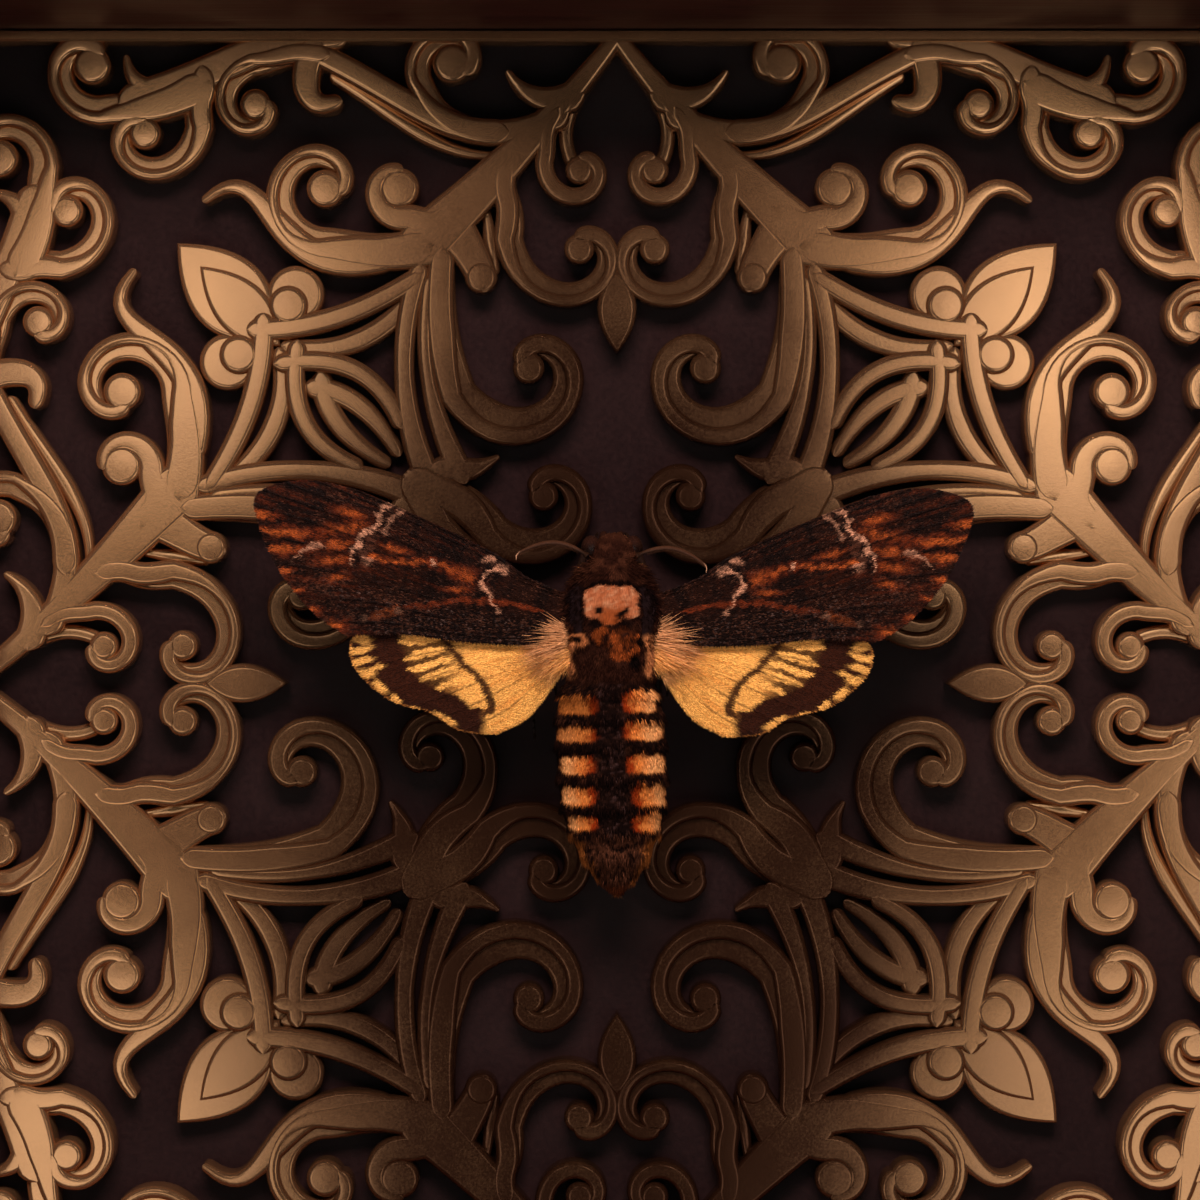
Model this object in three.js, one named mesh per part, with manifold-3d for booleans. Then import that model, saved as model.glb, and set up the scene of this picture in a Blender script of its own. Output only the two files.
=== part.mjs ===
// A death's-head hawkmoth, set with its wings spread and held on a hidden post in a square, open case.
// The case's back is a dark board that carries a scroll-cut panel.
// Millimetres, +Z up, the case's front faces -Y, and the origin is the middle of its underside.
// The moth's head points up and its back faces the front.
import * as THREE from "three";
import { mergeVertices } from "three/addons/utils/BufferGeometryUtils.js";
import Module from "manifold-3d";

const wasm = await Module();
wasm.setup();

// Driving dimensions of the case.
const OPENING = 204;
const BAR_WIDTH = 18;
const CASE_DEPTH = 52;
const OUTER = OPENING + 2 * BAR_WIDTH;
const BOARD_THICKNESS = 4.5;
const BOARD_BACK_RECESS = 0.5;
const PANEL_THICKNESS = 5.5;
const GAP = 0.3;
const MITRE_GAP = 0.15;

// Driving dimensions of the moth. Its own frame is out from the midline, up towards the head and high
// towards the front.
const WINGSPAN = 108;
const WING_PLANE_TO_PANEL = 17;
const MOTH_OFF_CENTRE = -0.84;
const MOTH_ABOVE_CENTRE = 12.2;
const WING_ROOT_OUT = 7.25;
const MEMBRANE = 0.5;
const VEIN_RIDGE = 0.28;
const WING_LAYER = 0.68;
const FOREWING_RAISED = { left: 0.9, right: -0.9 };
const HINDWING_RAISED = { left: 1.1, right: -1.1 };
const ANTENNA_RAISED = { left: 0, right: -10 };

const BOARD_FRONT = CASE_DEPTH / 2 - BOARD_BACK_RECESS - BOARD_THICKNESS;
const PANEL_FRONT = BOARD_FRONT - GAP - PANEL_THICKNESS;
const WING_PLANE_Y = PANEL_FRONT - WING_PLANE_TO_PANEL;
const CASE_CENTRE_Z = OUTER / 2;
const SIDES = { left: -1, right: 1 };
const HALF_SPAN = WINGSPAN / 2;

// Repeatable draws, so that each build is the same.
function seeded(seed) {
  let state = seed;
  return () => {
    state = (state * 1664525 + 1013904223) % 4294967296;
    return state / 4294967296;
  };
}

// A closed geometry as a solid, its shared corners merged.
function solidOf(geometry) {
  const bare = new THREE.BufferGeometry();
  bare.setAttribute("position", geometry.getAttribute("position"));
  if (geometry.index) bare.setIndex(geometry.index);
  const merged = mergeVertices(bare, 1e-4);
  const mesh = new wasm.Mesh({
    numProp: 3,
    vertProperties: new Float32Array(merged.attributes.position.array),
    triVerts: new Uint32Array(merged.index.array),
  });
  return new wasm.Manifold(mesh);
}

// The largest closed surface of a solid, as a geometry.
function geometryOf(solid) {
  const pieces = solid.decompose();
  const largest = pieces.reduce((best, piece) => (piece.volume() > best.volume() ? piece : best));
  const mesh = largest.getMesh();
  const geometry = new THREE.BufferGeometry();
  geometry.setAttribute("position", new THREE.BufferAttribute(new Float32Array(mesh.vertProperties), 3));
  geometry.setIndex(new THREE.BufferAttribute(new Uint32Array(mesh.triVerts), 1));
  geometry.computeVertexNormals();
  return geometry;
}

function joined(geometries) {
  return geometries.map(solidOf).reduce((whole, piece) => whole.add(piece));
}

// Turns moth coordinates (out, up, high) into the group's x, y, z.
function mothPoint(out, up, high) {
  return new THREE.Vector3(out, -high, up);
}

// A body that is round about the moth's long axis: rows of [up, half width], flattened and set at a height.
function roundBody(rows, flatness, high, sides) {
  const profile = rows.map(([up, radius]) => new THREE.Vector2(radius, up));
  const geometry = new THREE.LatheGeometry(profile, sides);
  geometry.rotateX(Math.PI / 2);
  geometry.scale(1, flatness, 1);
  geometry.translate(0, -high, 0);
  return geometry;
}

function ellipsoid(radii, centre, segments = 14) {
  const geometry = new THREE.SphereGeometry(1, segments, Math.round(segments * 0.7));
  geometry.scale(radii.x, radii.y, radii.z);
  geometry.translate(centre.x, centre.y, centre.z);
  return geometry;
}

// A closed tube along a curve, round or flattened, its radius given by the share of the way along.
function taperedTube(curve, radiusAt, sides, steps, flatness = 1) {
  const frames = curve.computeFrenetFrames(steps, false);
  const points = [];
  for (let i = 0; i <= steps; i += 1) {
    const share = i / steps;
    const centre = curve.getPointAt(share);
    const radius = radiusAt(share);
    for (let j = 0; j < sides; j += 1) {
      const angle = (2 * Math.PI * j) / sides;
      const point = centre.clone();
      point.addScaledVector(frames.normals[i], radius * Math.cos(angle));
      point.addScaledVector(frames.binormals[i], radius * flatness * Math.sin(angle));
      points.push(point);
    }
  }
  const first = points.push(curve.getPointAt(0)) - 1;
  const last = points.push(curve.getPointAt(1)) - 1;
  const faces = [];
  for (let i = 0; i < steps; i += 1) {
    for (let j = 0; j < sides; j += 1) {
      const a = i * sides + j;
      const b = i * sides + ((j + 1) % sides);
      faces.push(a, b, a + sides, b, b + sides, a + sides);
    }
  }
  for (let j = 0; j < sides; j += 1) {
    const next = (j + 1) % sides;
    faces.push(first, next, j);
    faces.push(last, steps * sides + j, steps * sides + next);
  }
  return facingOut(points, faces);
}

// A geometry from points and faces, turned inside out if its volume comes out negative.
function facingOut(points, faces) {
  const geometry = new THREE.BufferGeometry().setFromPoints(points);
  let volume = 0;
  for (let i = 0; i < faces.length; i += 3) {
    const [a, b, c] = [points[faces[i]], points[faces[i + 1]], points[faces[i + 2]]];
    volume += a.dot(b.clone().cross(c));
  }
  const turned = [];
  for (let i = 0; i < faces.length; i += 3) {
    if (volume > 0) turned.push(faces[i], faces[i + 1], faces[i + 2]);
    else turned.push(faces[i], faces[i + 2], faces[i + 1]);
  }
  geometry.setIndex(turned);
  return geometry;
}

// Wings. An outline is four edges in (out, up): leading edge, outer margin, trailing edge and straight root.
const FOREWING = {
  leading: [[WING_ROOT_OUT, 1.9], [13.2, 4.3], [18.2, 7.9], [30.2, 13.4], [37.8, 16.6]],
  margin: [
    [37.8, 16.6], [45.4, 18.1], [51.4, 17.3], [HALF_SPAN, 15.0],
    [52.6, 9.6], [49.7, 4.0], [44.9, -1.6], [40.0, -4.9],
  ],
  trailing: [[WING_ROOT_OUT, -4.4], [13.3, -5.9], [22.4, -5.6], [31.3, -4.6], [40.0, -4.9]],
  veins: [0.03, 0.12, 0.23, 0.34, 0.45, 0.56, 0.67, 0.79, 0.91],
  cell: [0, 0, 0.52, 0.52, 0.56, 0.56, 0.5, 0.4, 0],
  spanSteps: 12,
};
const HINDWING = {
  leading: [[WING_ROOT_OUT, -4.7], [17.0, -1.9], [28.0, -1.4], [36.6, -3.2]],
  margin: [
    [36.6, -3.2], [39.2, -6.2], [38.3, -10.4], [33.2, -14.8], [27.0, -16.6], [22.9, -19.1], [17.6, -19.7],
  ],
  trailing: [[WING_ROOT_OUT, -9.9], [8.9, -12.3], [12.6, -17.0], [17.6, -19.7]],
  veins: [0.05, 0.19, 0.33, 0.46, 0.59, 0.72, 0.86],
  cell: [0, 0, 0.45, 0.5, 0.45, 0.3, 0],
  spanSteps: 9,
};
const VEIN_HALF_WIDTH = 0.018;
const WING_RISE = 0.04;
const WING_ARCH = 1.0;
const WING_DROOP = 1.3;
const WING_DROOP_AXIS_UP = 3;
const WING_DROOP_REACH = 15;

function planCurve(points) {
  return new THREE.SplineCurve(points.map(([out, up]) => new THREE.Vector2(out, up)));
}

// How high the sheet between the two wings of a side stands at a place.
function wingHeight(out, up) {
  const reach = out - WING_ROOT_OUT;
  const arch = WING_ARCH * Math.sin((Math.PI * reach) / HALF_SPAN);
  const droop = WING_DROOP * ((up - WING_DROOP_AXIS_UP) / WING_DROOP_REACH) ** 2;
  return WING_RISE * reach + arch - droop;
}

// A place in a wing's plan from its share along the span and its share from the leading to the trailing edge.
function wingPlan(wing) {
  const leading = planCurve(wing.leading);
  const margin = planCurve(wing.margin);
  const trailing = planCurve(wing.trailing);
  const corners = [leading.getPoint(0), trailing.getPoint(0), margin.getPoint(0), margin.getPoint(1)];
  return (span, chord) => {
    const place = leading.getPoint(span).multiplyScalar(1 - chord);
    place.addScaledVector(trailing.getPoint(span), chord);
    place.addScaledVector(corners[0].clone().lerp(corners[1], chord), 1 - span);
    place.addScaledVector(margin.getPoint(chord), span);
    place.addScaledVector(corners[0], -(1 - span) * (1 - chord));
    place.addScaledVector(corners[1], -(1 - span) * chord);
    place.addScaledVector(corners[2], -span * (1 - chord));
    place.addScaledVector(corners[3], -span * chord);
    return place;
  };
}

// The chord shares of a wing's grid, each with the vein that its line runs along, if any.
function chordLines(wing) {
  const lines = [{ chord: 0 }];
  wing.veins.forEach((chord, vein) => {
    if (chord - VEIN_HALF_WIDTH > 0.02) lines.push({ chord: chord - VEIN_HALF_WIDTH });
    lines.push({ chord, vein });
    lines.push({ chord: chord + VEIN_HALF_WIDTH });
  });
  lines.push({ chord: 1 });
  return lines;
}

// One wing: a thin sheet whose top is raised in a ridge along each vein, past the closed cell near its root.
function wingGeometry(wing, side, raised, layer) {
  const plan = wingPlan(wing);
  const lines = chordLines(wing);
  const steps = wing.spanSteps;
  const hinge = new THREE.Vector2(WING_ROOT_OUT, -2);
  const turn = THREE.MathUtils.degToRad(raised);
  const top = [];
  const bottom = [];
  for (let i = 0; i <= steps; i += 1) {
    const span = i / steps;
    for (const { chord, vein } of lines) {
      const place = plan(span, chord);
      const high = wingHeight(place.x, place.y) + layer;
      const onVein = vein !== undefined && span >= wing.cell[vein];
      const fade = Math.min(1, span * 5) * (span === 1 ? 0.4 : 1);
      const ridge = onVein ? VEIN_RIDGE * fade : 0;
      if (i > 0) place.rotateAround(hinge, turn);
      top.push(mothPoint(place.x * SIDES[side], place.y, high + MEMBRANE / 2 + ridge));
      bottom.push(mothPoint(place.x * SIDES[side], place.y, high - MEMBRANE / 2));
    }
  }
  return sheetGeometry(top, bottom, steps, lines.length - 1);
}

// A closed sheet from two alike grids of points, both split into triangles the same way.
function sheetGeometry(top, bottom, rows, columns) {
  const width = columns + 1;
  const under = top.length;
  const faces = [];
  for (let i = 0; i < rows; i += 1) {
    for (let j = 0; j < columns; j += 1) {
      const a = i * width + j;
      const [b, c, d] = [a + 1, a + width, a + width + 1];
      faces.push(a, b, c, b, d, c);
      faces.push(under + a, under + c, under + b, under + b, under + c, under + d);
    }
  }
  const rim = [];
  for (let j = 0; j < columns; j += 1) rim.push(j);
  for (let i = 0; i < rows; i += 1) rim.push(i * width + columns);
  for (let j = columns; j > 0; j -= 1) rim.push(rows * width + j);
  for (let i = rows; i > 0; i -= 1) rim.push(i * width);
  rim.forEach((from, k) => {
    const to = rim[(k + 1) % rim.length];
    faces.push(from, under + from, to, to, under + from, under + to);
  });
  return facingOut([...top, ...bottom], faces);
}

// A flat, tapered lock of hair along a bent line, blunt at its root and thin at its tip.
function lockGeometry(root, middle, tip, halfWidth) {
  const curve = new THREE.QuadraticBezierCurve3(root, middle, tip);
  const shapeAt = (share) => (share < 0.4 ? 0.75 + 0.6 * share : 1 - 1.45 * (share - 0.4));
  const radiusAt = (share) => halfWidth * shapeAt(share) + 0.03;
  return taperedTube(curve, radiusAt, 4, 3, 0.45);
}

// The trunk. Rows of [up, half width] for each part, out to the tips of its coat, with flat ends that meet.
const TRUNK_FLATNESS = 0.86;
const HEAD_ROWS = [[6.75, 0], [6.75, 3.5], [7.7, 3.75], [9.1, 3.4], [10.2, 2.75], [10.9, 1.7], [11.1, 0]];
const COLLAR_ROWS = [[3.3, 0], [3.3, 6.5], [4.2, 6.2], [5.3, 5.4], [6.1, 4.5], [6.45, 3.7], [6.45, 0]];
const THORAX_ROWS = [
  [-11.15, 0], [-11.15, 6.5], [-9.6, 7.4], [-7, 7.9], [-4, 8.05], [-1, 7.8], [1.4, 7.3], [3, 6.6], [3, 0],
];
const HEAD_HIGH = 0.2;
const COLLAR_HIGH = -0.9;
const THORAX_HIGH = -1.5;
const WING_SEAT_OUT = WING_ROOT_OUT - GAP - 0.05;

// Abdomen: each segment ends in a hem that stands over the next, at [up, half width].
const ABDOMEN_START = -11.85;
const SEGMENT_HEMS = [
  [-13.6, 8.1], [-17.3, 8.7], [-21.5, 8.85], [-26.4, 8.8], [-30.8, 8.4], [-34.7, 7.5], [-38.4, 5.6],
];
const ABDOMEN_TIP = -44.2;
const HEM_STEP = 0.45;
const HEM_DEPTH = 0.35;
const ABDOMEN_HIGH = -1.7;
const ABDOMEN_OUT = -0.5;
const ABDOMEN_SWAY = 2.2;
const ABDOMEN_DIP = 2.5;

// Eyes, feelers and mouth parts, at the right side.
const EYE = { radius: 1.9, out: 3.15, up: 8.7, high: -1.2 };
const ANTENNA = { base: [3.75, 7.5, 1.9], span: 11.3, arch: 2.0, rise: 0.6, radius: 0.4, seat: 0.62 };
const PALP = { half: [1.1, 1.4, 2.0], centre: [1.25, 10.3, -2.9], tilt: 28 };
const PROBOSCIS = { radius: 0.42, coil: 1.5, turns: 1.6, centre: [0, 8.9, -5.4] };

function headSolid() {
  let head = solidOf(roundBody(HEAD_ROWS, 0.95, HEAD_HIGH, 20));
  for (const sign of Object.values(SIDES)) {
    head = head.subtract(solidOf(eyeGeometry(sign, GAP)));
    head = head.subtract(solidOf(antennaSeat(sign, GAP)));
    head = head.subtract(solidOf(palpGeometry(sign, GAP)));
  }
  return head;
}

function eyeGeometry(sign, grow = 0) {
  const radius = EYE.radius + grow;
  const radii = new THREE.Vector3(radius * 0.8, radius, radius);
  return ellipsoid(radii, mothPoint(EYE.out * sign, EYE.up, EYE.high), 12);
}

function antennaSeat(sign, grow = 0) {
  const [out, up, high] = ANTENNA.base;
  const radius = ANTENNA.seat + grow;
  return ellipsoid(new THREE.Vector3(radius, radius, radius), mothPoint(out * sign, up, high), 7);
}

// A feeler: a shallow arc out from its seat, thickest past the middle, hooked down at its tip.
function antennaSolid(side) {
  const sign = SIDES[side];
  const [out, up, high] = ANTENNA.base;
  const turn = THREE.MathUtils.degToRad(ANTENNA_RAISED[side]);
  const line = [];
  const steps = 8;
  for (let i = 0; i <= steps; i += 1) {
    const share = i / steps;
    const along = ANTENNA.span * share;
    const arch = ANTENNA.arch * Math.sin(Math.PI * share ** 0.9) - (share > 0.9 ? 0.5 : 0);
    const reach = along * Math.cos(turn) - arch * Math.sin(turn);
    const lift = along * Math.sin(turn) + arch * Math.cos(turn);
    line.push(mothPoint((out + reach) * sign, up + lift, high + ANTENNA.rise * share));
  }
  const curve = new THREE.CatmullRomCurve3(line);
  const radiusAt = (share) => ANTENNA.radius * (0.8 + 0.3 * Math.sin(Math.PI * share) - 0.65 * share ** 6);
  return solidOf(taperedTube(curve, radiusAt, 5, 12)).add(solidOf(antennaSeat(sign)));
}

function palpGeometry(sign, grow = 0) {
  const [across, deep, along] = PALP.half;
  const radii = new THREE.Vector3(across + grow, deep + grow, along + grow);
  const geometry = ellipsoid(radii, new THREE.Vector3(), 9);
  geometry.rotateX(THREE.MathUtils.degToRad(PALP.tilt));
  const [out, up, high] = PALP.centre;
  const centre = mothPoint(out * sign, up, high);
  return geometry.translate(centre.x, centre.y, centre.z);
}

function palpSolid(sign) {
  return solidOf(palpGeometry(sign)).subtract(solidOf(eyeGeometry(sign, GAP)));
}

// The short, stout tongue, coiled under the head.
function proboscisSolid() {
  const [out, up, high] = PROBOSCIS.centre;
  const line = [];
  const steps = 14;
  for (let i = 0; i <= steps; i += 1) {
    const share = i / steps;
    const angle = Math.PI * (0.5 + 2 * PROBOSCIS.turns * share);
    const radius = PROBOSCIS.coil * (1 - 0.55 * share);
    const across = out + 2.2 * PROBOSCIS.radius * share;
    line.push(mothPoint(across, up + radius * Math.cos(angle), high + radius * Math.sin(angle)));
  }
  const curve = new THREE.CatmullRomCurve3(line);
  return solidOf(taperedTube(curve, (share) => PROBOSCIS.radius * (1 - 0.4 * share), 5, 15));
}

// The trunk's coat over the thorax, grown outwards by an amount.
function thoraxShape(grow) {
  const rows = THORAX_ROWS.map(([up, radius]) => [up, radius === 0 ? 0 : radius + grow]);
  return solidOf(roundBody(rows, TRUNK_FLATNESS, THORAX_HIGH, 20));
}

// A plate that lies over the thorax, cut to a plan shape.
function plateOver(shape, lift, thickness) {
  const deep = 14;
  const prism = new THREE.ExtrudeGeometry(shape, { depth: deep, bevelEnabled: false, curveSegments: 6 });
  prism.rotateX(Math.PI / 2);
  const shell = thoraxShape(lift + thickness).subtract(thoraxShape(lift));
  return shell.intersect(solidOf(prism));
}

// Where the wings sit, each side of the thorax is a flat seat, and each leg has a socket below.
function thoraxSolid() {
  const seat = new THREE.BoxGeometry(4, 40, 13.6);
  let thorax = thoraxShape(0);
  for (const [side, sign] of Object.entries(SIDES)) {
    const cut = seat.clone().translate((WING_SEAT_OUT + 2) * sign, 0, -4.2);
    thorax = thorax.subtract(solidOf(cut));
    for (const lock of wingTufts(side)) thorax = thorax.add(solidOf(lock));
    for (const leg of Object.values(LEGS)) thorax = thorax.subtract(solidOf(coxaGeometry(leg, sign, GAP)));
  }
  return thorax.subtract(solidOf(postGeometry(GAP)));
}

// Long pale hair that fans out from the wing roots over the base of both wings.
const TUFT_COUNT = 8;
const TUFT_FIRST_UP = -3.2;
const TUFT_LAST_UP = -8.4;
const TUFT_FIRST_ANGLE = 14;
const TUFT_LAST_ANGLE = -50;
const TUFT_LENGTH = 6.6;
const TUFT_HALF_WIDTH = 1.0;

function wingTufts(side) {
  const draw = seeded(side === "left" ? 11 : 12);
  const sign = SIDES[side];
  const locks = [];
  for (let i = 0; i < TUFT_COUNT; i += 1) {
    const share = i / (TUFT_COUNT - 1);
    const up = THREE.MathUtils.lerp(TUFT_FIRST_UP, TUFT_LAST_UP, share);
    const degrees = THREE.MathUtils.lerp(TUFT_FIRST_ANGLE, TUFT_LAST_ANGLE, share) + 6 * draw();
    const angle = THREE.MathUtils.degToRad(degrees);
    const length = TUFT_LENGTH * (0.8 + 0.3 * draw());
    const rootOut = 5.4;
    const tipOut = rootOut + 1.4 + length * Math.cos(angle);
    const tipUp = up + length * Math.sin(angle);
    const overWing = wingHeight(tipOut, tipUp) + WING_LAYER + MEMBRANE / 2 + VEIN_RIDGE + GAP + 0.45;
    const root = mothPoint(rootOut * sign, up, 1.9);
    const middle = mothPoint((rootOut + 2.6) * sign, up + 0.2, 2.9);
    locks.push(lockGeometry(root, middle, mothPoint(tipOut * sign, tipUp, overWing), TUFT_HALF_WIDTH));
  }
  return locks;
}

// The dark lobes that cover the wing roots on each side of the skull mark.
const TEGULA = { out: 5.55, up: -1.0, halfWidth: 0.95, halfLength: 3.7, lean: 5 };

function tegulaSolid(sign) {
  const { out, up, halfWidth, halfLength } = TEGULA;
  const shape = new THREE.Shape();
  const lean = THREE.MathUtils.degToRad(TEGULA.lean * sign);
  shape.absellipse(out * sign, up, halfWidth, halfLength, 0, 2 * Math.PI, false, lean);
  return plateOver(shape, GAP, 0.6);
}

// The pale pad of hair that is the skull mark: a wide dome, two sockets and a narrow jaw.
const SKULL = {
  centre: -0.2, top: 2.6, halfWidth: 4.25, cheek: -2.1, jawHalf: 1.9, chin: -5.0, chinHalf: 0.8,
};
const SOCKETS = [[-2.1, -0.6, 0.62], [1.65, -0.95, 0.68]];

function skullSolid() {
  const { centre, top, halfWidth, cheek, jawHalf, chin, chinHalf } = SKULL;
  const shape = new THREE.Shape();
  shape.moveTo(centre - chinHalf, chin);
  shape.lineTo(centre + chinHalf, chin);
  shape.lineTo(centre + jawHalf, cheek - 0.7);
  const [cheekHalf, bulge] = [halfWidth * 0.8, halfWidth * 1.25];
  shape.lineTo(centre + cheekHalf, cheek);
  shape.bezierCurveTo(centre + bulge, cheek + 1.2, centre + halfWidth, top, centre, top);
  shape.bezierCurveTo(centre - halfWidth, top, centre - bulge, cheek + 1.2, centre - cheekHalf, cheek);
  shape.lineTo(centre - jawHalf, cheek - 0.7);
  for (const [out, up, radius] of SOCKETS) {
    const hole = new THREE.Path();
    hole.absarc(out, up, radius, 0, 2 * Math.PI, true);
    shape.holes.push(hole);
  }
  return plateOver(shape, GAP, 0.6);
}

function abdomenSolid() {
  const rows = [[ABDOMEN_TIP, 0], [ABDOMEN_TIP + 0.4, 1.5], [-41.6, 3.6]];
  [...SEGMENT_HEMS].reverse().forEach(([up, radius]) => {
    rows.push([up - HEM_DEPTH, radius - HEM_STEP]);
    rows.push([up, radius]);
  });
  rows.push([ABDOMEN_START, 7.3], [ABDOMEN_START, 0]);
  const body = roundBody(rows, TRUNK_FLATNESS, 0, 22);
  let abdomen = solidOf(body);
  for (const lock of tailTuft()) abdomen = abdomen.add(solidOf(lock));
  return abdomen;
}

// The tuft that ends the abdomen.
const TAIL_LOCKS = 7;

function tailTuft() {
  const draw = seeded(21);
  const locks = [];
  for (let i = 0; i < TAIL_LOCKS; i += 1) {
    const angle = (2 * Math.PI * i) / TAIL_LOCKS;
    const spread = [Math.cos(angle), Math.sin(angle) * TRUNK_FLATNESS];
    const length = 3.2 + 0.9 * draw();
    const at = (radius, up) => mothPoint(radius * spread[0], up, radius * spread[1]);
    locks.push(lockGeometry(at(2.2, -40.2), at(2.9, -42.6), at(1.3, -41.2 - length), 1.0));
  }
  return locks;
}

// Legs, folded under the body: joints from the coxa to the end of the foot, at the right side.
const LEGS = {
  foreleg: {
    coxa: [2.3, 0.8, -7.6], knee: [5.4, 4.6, -11.0],
    ankle: [5.2, 9.4, -11.6], toe: [3.0, 12.6, -10.6],
  },
  midleg: {
    coxa: [3.4, -3.4, -7.5], knee: [8.0, -0.6, -10.6],
    ankle: [9.4, -8.2, -12.0], toe: [8.6, -13.6, -12.2],
  },
  hindleg: {
    coxa: [2.6, -7.6, -7.4], knee: [7.0, -8.6, -11.0],
    ankle: [7.4, -15.4, -12.4], toe: [5.6, -21.6, -12.2],
  },
};
const COXA_RADIUS = 1.2;
const LEG_RADIUS = { coxa: 0.9, toe: 0.26 };
const LEG_BEND = 0.12;
const SPLAYED_HINDLEG = { knee: [8.6, -9.6, -11.0], ankle: [12.4, -14.4, -12.4], toe: [11.9, -20.2, -12.2] };

function coxaGeometry(leg, sign, grow = 0) {
  const [out, up, high] = leg.coxa;
  const radius = COXA_RADIUS + grow;
  return ellipsoid(new THREE.Vector3(radius, radius, radius), mothPoint(out * sign, up, high), 7);
}

// A leg: a rounded coxa in the body, then a bent tube that thins from joint to joint.
function legSolid(leg, sign) {
  const places = [leg.coxa, leg.knee, leg.ankle, leg.toe];
  const joints = places.map(([out, up, high]) => mothPoint(out * sign, up, high));
  const curve = new THREE.CatmullRomCurve3(joints, false, "catmullrom", LEG_BEND);
  const radiusAt = (share) => THREE.MathUtils.lerp(LEG_RADIUS.coxa, LEG_RADIUS.toe, Math.sqrt(share));
  return solidOf(coxaGeometry(leg, sign)).add(solidOf(taperedTube(curve, radiusAt, 6, 9)));
}

// The hidden post that holds the moth, and the block on the board that it stands in.
const POST = { radius: 0.7, out: 0, up: -5.5, top: -6.0 };
const BLOCK = { radius: 4, thickness: 4 };
const BOARD_HIGH = WING_PLANE_Y - BOARD_FRONT;
const BLOCK_TOP_HIGH = BOARD_HIGH + GAP + BLOCK.thickness;

function postGeometry(grow = 0) {
  const top = POST.top + grow;
  const foot = BLOCK_TOP_HIGH + GAP - grow;
  const geometry = new THREE.CylinderGeometry(POST.radius + grow, POST.radius + grow, top - foot, 12);
  return geometry.translate(POST.out, -(top + foot) / 2, POST.up);
}

function blockGeometry() {
  const geometry = new THREE.CylinderGeometry(BLOCK.radius, BLOCK.radius, BLOCK.thickness, 20);
  return geometry.translate(POST.out, -(BOARD_HIGH + GAP + BLOCK.thickness / 2), POST.up);
}

// The scroll-cut panel. One eighth of it, from the upright axis to the diagonal, is drawn in (across, up)
// from the panel's centre. The rest is mirrored and turned from it.
const SCROLLS = {
  hook: {
    root: [26.1, 73], via: [29.5, 70.6], eye: [34, 77.3],
    turn: [-95, 175], reach: 4.7, pull: 1, ball: 3.2, half: [2.6, 2, 2.3],
  },
  crest: {
    root: [31.6, 67.8], via: [38.7, 66.6], eye: [45.5, 77.2],
    turn: [-85, 262], reach: 8.5, pull: 1.2, ball: 3, half: [3.2, 2.1, 2.2],
  },
  bowl: {
    root: [27.4, 66], via: [28, 57], eye: [13.8, 49.2],
    turn: [-20, -275], reach: 11.7, pull: 0.85, ball: 2.5, half: [2.1, 3.3, 1.8],
  },
  heart: {
    root: [17.5, 79.5], via: [18.2, 75], eye: [5.9, 67.8],
    turn: [8, -260], reach: 10.9, pull: 0.8, ball: 2.4, half: [1.9, 1.9, 1.7],
  },
  inner: {
    root: [30.6, 31.2], via: [26, 29], eye: [11.5, 29.2],
    turn: [-35, -265], reach: 9.6, pull: 0.85, ball: 2.4, half: [3, 2.9, 1.7],
  },
  drop: {
    root: [9.7, 88.6], via: [11.7, 85.5], eye: [5.8, 80.1],
    turn: [12, -250], reach: 5.7, pull: 0.9, ball: 2.3, half: [1.5, 1.5, 1.7],
  },
  wave: {
    root: [19, 86], via: [28, 86.4], eye: [25.7, 96.7],
    turn: [-25, 215], reach: 5.8, pull: 0.9, ball: 3.1, half: [2.2, 2, 2.2],
  },
  curl: {
    root: [46.5, 98.2], via: [52, 99], eye: [56.4, 90.3],
    turn: [85, -245], reach: 6.3, pull: 0.8, ball: 2.5, half: [1.8, 1.7, 1.8],
  },
  loop: {
    root: [64.5, 94.4], via: [64, 91.2], eye: [73.7, 85.9],
    turn: [-186, 245], reach: 8.2, pull: 0.8, ball: 2.6, half: [2, 1.9, 1.9],
  },
  corner: {
    root: [66, 92.5], via: [73, 89], eye: [81.9, 96.4],
    turn: [-100, 200], reach: 7, pull: 1, ball: 3, half: [3, 2.3, 2.2],
  },
};
const BANDS = {
  stem: { line: [[-0.6, 101.6], [8, 90.5], [17, 81], [30, 69]], half: [1.5, 2.4, 3.9] },
  spur: { line: [[7.6, 91.4], [11, 90.6], [14.6, 91.6], [16.8, 95]], half: [2.5, 1.6, 0.4] },
  swag: { line: [[9.5, 88.3], [24, 81.5], [31, 91], [46.5, 98.2]], half: [2.1, 2, 1.9] },
  bulb: { line: [[47.6, 98.6], [49.6, 93.5], [48.4, 89.4], [44.2, 90.6]], half: [2.4, 2.2, 1.1] },
  crestTip: { line: [[37, 66.4], [55, 62], [54, 84], [64, 75.6]], half: [2.5, 2, 1.1] },
  arc: { line: [[31.2, 62.2], [38, 56.8], [45, 53.8], [54, 54]], half: [2.6, 3.2, 3.2] },
  petal: { line: [[52, 50], [43.4, 51.2], [37.6, 49], [34, 41]], half: [1.6, 1.6, 1.4] },
  spine: { line: [[30, 64], [33.3, 54], [32.6, 42], [27.5, 31]], half: [2.6, 2.6, 3.3] },
  barb: { line: [[27, 33.4], [24, 33], [21.5, 33.4], [18.8, 35.2]], half: [2.2, 1.8, 0.4] },
  border: { line: [[44, 101], [57, 100.4], [62, 95], [75, 91.2]], half: [2.2, 2.7, 2.9] },
  borderSpur: { line: [[70, 92], [74, 92.4], [76, 94], [76.5, 97.4]], half: [2.4, 1.6, 0.4] },
  lappet: { line: [[25.4, 71], [23.6, 68], [22, 66], [20.4, 61.6]], half: [3.3, 3, 2] },
};
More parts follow.
